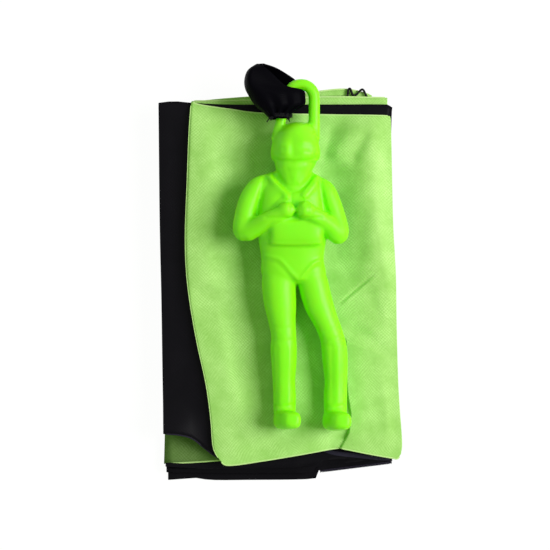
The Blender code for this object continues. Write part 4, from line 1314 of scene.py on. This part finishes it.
def pressed(plan: Array) -> Array:
    """How deep all the strokes press each plan place: each its depth times a bell of the distance from
    its line.
    """
    total = 0.0
    for depth, half_width, *places in STROKES:
        line = smooth_curve(np.array(places).reshape(-1, 2) / 10, 5) * MM
        start, run = line[:-1], np.diff(line, axis=0)
        offset = plan[:, None] - start[None]
        share = np.clip((offset * run).sum(axis=2) / (run**2).sum(axis=1), 0, 1)
        distance = np.linalg.norm(offset - share[..., None] * run[None], axis=2).min(axis=1)
        total = total + depth / 100 * MM * np.exp(-((distance / (half_width / 100 * MM)) ** 2))
    return total


def rows_of(items: bpy.types.bpy_prop_collection, what: str, width: int, kind: type = float) -> Array:
    """One attribute of all of a mesh's points, edges or normals, in rows of the given width."""
    read = np.empty(len(items) * width, kind)
    items.foreach_get(what, read)
    return read.reshape(-1, width)


@dataclass(frozen=True)
class Parachutist:
    """The moulded figure: rounded forms run together into one skin, then its details are pressed and
    lifted.
    """

    height: float = 0.079
    ring_centre: tuple[float, float] = (0.0051, 0.0444)
    floor: float = 0.0100
    ring_rise: float = 0.00646
    ring_off_head: float = 0.0013
    ring_radius: float = 0.00346
    ring_wire: float = 0.0014
    ring_root: float = 0.0044
    ring_level: float = 0.00632
    ring_slant: float = math.radians(15)
    voxel: float = 0.00028

    def place(self, side: Array, down: Array, height: Array) -> Array:
        """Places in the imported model, from shares of the body's height."""
        origin = (self.ring_centre[0] - self.ring_off_head, self.ring_centre[1] - self.ring_rise, self.floor)
        return origin + np.stack([side, -down, height], axis=-1) * self.height

    def section(self, centres: Array, wide: Array, deep: Array, power: float) -> Surface:
        """A form whose sections all lie the same way across the body, with half sizes in shares of the
        height.
        """
        across = np.tile((1.0, 0.0, 0.0), (len(centres), 1))
        return tube(centres, across, wide * self.height, deep * self.height, 48, power)

    def limb(self, centres: Array, radius: Array) -> Surface:
        """A round form through the given middles."""
        return tube(centres, sideways(centres), radius, radius, 32)

    def ring(self) -> Surface:
        """The closed bail on the helmet: two legs and a round arch."""
        arch = np.linspace(0, math.pi, 29)
        over = np.stack([np.cos(arch), np.sin(arch)], axis=1) * self.ring_radius
        root = -self.ring_rise - self.ring_root
        shares = np.linspace(1, 0.08, 8)
        right = np.column_stack([np.full(8, self.ring_radius), root * shares])
        left = np.column_stack([-self.ring_radius + root * shares * math.tan(self.ring_slant), root * shares])
        plan = np.concatenate([right, over, left[::-1]]) + self.ring_centre
        centres = np.column_stack([plan, np.full(len(plan), self.floor + self.ring_level)])
        thicker = np.interp(np.arange(len(plan)), (8, 16, 22, 30, 37), (1.07, 1.07, 1.00, 0.95, 0.93))
        return self.limb(centres, self.ring_wire * thicker)

    def forms(self) -> Surface:
        """All the rounded forms, which overlap."""
        made = []
        for name, rows in BODY_SHARES.items():
            down, side, wide, deep, height = smooth_curve(np.array(rows) / SHARE_UNIT, 6).T
            made.append(self.section(self.place(side, down, height), wide, deep, BODY_POWERS[name]))
        for rows in FOOT_SHARES.values():
            height, side, down, wide, long = smooth_curve(np.array(rows) / SHARE_UNIT, 6).T
            made.append(self.section(self.place(side, down, height), wide, long, 3.0))
        for rows in LIMB_SHARES.values():
            side, down, height, radius = smooth_curve(np.array(rows) / SHARE_UNIT, 6).T
            made.append(self.limb(self.place(side, down, height), radius * self.height))
        return merged([*made, self.ring()])

    def skin(self) -> bpy.types.Mesh:
        """One closed skin round all the forms, from a fine voxel grid."""
        source = self.forms().object("figure_forms")
        modifier(source, "REMESH", mode="VOXEL", voxel_size=self.voxel)
        graph = bpy.context.evaluated_depsgraph_get()
        mesh = bpy.data.meshes.new_from_object(source.evaluated_get(graph))
        bpy.data.objects.remove(source)
        return mesh

    def soften(self, mesh: bpy.types.Mesh, rounds: int) -> None:
        """Moves each point half way to the mean of its neighbours, the given number of times."""
        points, edges = rows_of(mesh.vertices, "co", 3), rows_of(mesh.edges, "vertices", 2, int)
        count = len(points)
        ends, others = np.concatenate([edges, edges[:, ::-1]]).T
        number = np.bincount(ends, minlength=count)[:, None]
        for _ in range(rounds):
            sums = [np.bincount(ends, weights=points[others, axis], minlength=count) for axis in range(3)]
            points = 0.5 * points + 0.5 * np.stack(sums, axis=1) / number
        mesh.vertices.foreach_set("co", points.ravel())
        mesh.update()

    def sculpt(self, mesh: bpy.types.Mesh) -> None:
        """Presses every stroke into the skin that faces up, along the skin's own normals."""
        points = rows_of(mesh.vertices, "co", 3)
        normals = rows_of(mesh.vertex_normals, "vector", 3, np.float32).astype(float)
        facing = smooth_step(normals[:, 2] / 0.5)
        upper = np.flatnonzero(facing > 0)
        points[upper] -= normals[upper] * (pressed(points[upper, :2]) * facing[upper])[:, None]
        mesh.vertices.foreach_set("co", points.ravel())
        mesh.update()

    def build(self) -> list[Piece]:
        """Builds the figure."""
        mesh = self.skin()
        self.soften(mesh, 7)
        self.sculpt(mesh)
        self.soften(mesh, 2)
        mesh.shade_smooth()
        mesh.materials.clear()
        finish = PlasticFinish().material()
        return [fitted(linked("parachutist", mesh), finish, "figure", ("figure",))]


@dataclass(frozen=True)
class Studio:
    """The camera straight above, a white sweep and soft light from the right."""

    centre: tuple[float, float] = (-0.00141, -0.00064)
    level: float = 0.010
    distance: float = 0.7833
    lens: float = 200.0
    sensor: float = 36.0
    half_floor: float = 1.5
    floor_level: float = -0.0001
    world_light: float = 0.285
    world_tint: Colour = (0.62, 1.0, 0.30)

    def camera(self) -> None:
        """A long lens that looks straight down and sees 141 mm across."""
        data = bpy.data.cameras.new("camera")
        data.lens, data.sensor_width = self.lens, self.sensor
        data.clip_start, data.clip_end = 0.01, 20.0
        camera = linked("camera", data)
        camera.location = (*self.centre, self.level + self.distance)
        bpy.context.scene.camera = camera

    def seen(self, nodes: Nodes) -> Socket:
        """1 for rays from the camera, a reflection or a clear body, and 0 for those that light the scene."""
        path = nodes.add("LightPath")
        total = path.outputs["Is Camera Ray"]
        for name in ("Is Glossy Ray", "Is Transmission Ray"):
            total = nodes.add("Math", {0: total, 1: path.outputs[name]}, use_clamp=True).outputs[0]
        return total

    def floor(self) -> None:
        """A pale floor that looks white and still takes a faint shadow."""
        mesh = bpy.data.meshes.new("sweep")
        half = self.half_floor
        corners = [(x * half, y * half, self.floor_level) for x, y in ((-1, -1), (1, -1), (1, 1), (-1, 1))]
        mesh.from_pydata(corners, [], [(0, 1, 2, 3)])
        plane = linked("sweep", mesh)
        recipe = Recipe("sweep_white", 1.0, Base_Color=(0.88, 0.88, 0.88, 1), Specular_IOR_Level=0.0)
        white = recipe.add("Emission", {"Color": (1, 1, 1, 1), "Strength": 1.04})
        share = recipe.math("MULTIPLY", self.seen(recipe), 0.93)
        mix = recipe.add("MixShader", {0: share, 1: recipe.shader.outputs[0], 2: white.outputs[0]})
        recipe.feed(recipe.tree.nodes["Material Output"], {"Surface": mix.outputs[0]})
        mesh.materials.append(recipe.material)

    def world(self) -> None:
        """White all round to the eye, and as a light dimmer and green, as the toy's own green fills its
        shadows.
        """
        world = bpy.data.worlds.new("studio")
        world.use_nodes = True
        nodes = Nodes(world.node_tree)
        seen = self.seen(nodes)
        strength = nodes.add("MapRange", {0: seen, 3: self.world_light, 4: 1.0}).outputs[0]
        colour = nodes.mixed(seen, self.world_tint, (1, 1, 1))
        nodes.feed(nodes.tree.nodes["Background"], {"Color": colour, "Strength": strength})
        bpy.context.scene.world = world

    def lamp(self, name: str, place: tuple[float, float, float], size: float, power: float) -> None:
        """A square soft light that faces the pack."""
        data = bpy.data.lights.new(name, "AREA")
        data.size, data.energy = size, power
        light = linked(name, data)
        x, y, z = np.array((0, 0, self.level)) - np.array(place)
        light.location = place
        light.rotation_euler = (math.atan2(math.hypot(x, y), -z), 0, math.atan2(-x, y))

    def build(self) -> None:
        """Sets up the camera, the floor and the light."""
        self.camera()
        self.floor()
        self.world()
        self.lamp("key", (1.10, 0.13, 1.13), 0.80, 25.4)
        self.lamp("fill", (-0.35, 0.30, 0.60), 0.60, 0.42)
        bpy.context.scene.view_settings.view_transform = "Standard"


def main() -> None:
    """Builds the studio and every part of the toy, and logs each piece."""
    logging.basicConfig(level=logging.INFO, format="%(message)s")
    form = PackForm()
    Studio().build()
    for assembly in (ShroudLines(form), Canopy(form), RiserStrap(), Parachutist()):
        for piece in assembly.build():
            log.info("%s: %s, %d points", type(assembly).__name__, piece.name, len(piece.data.vertices))


if __name__ == "__main__":
    main()
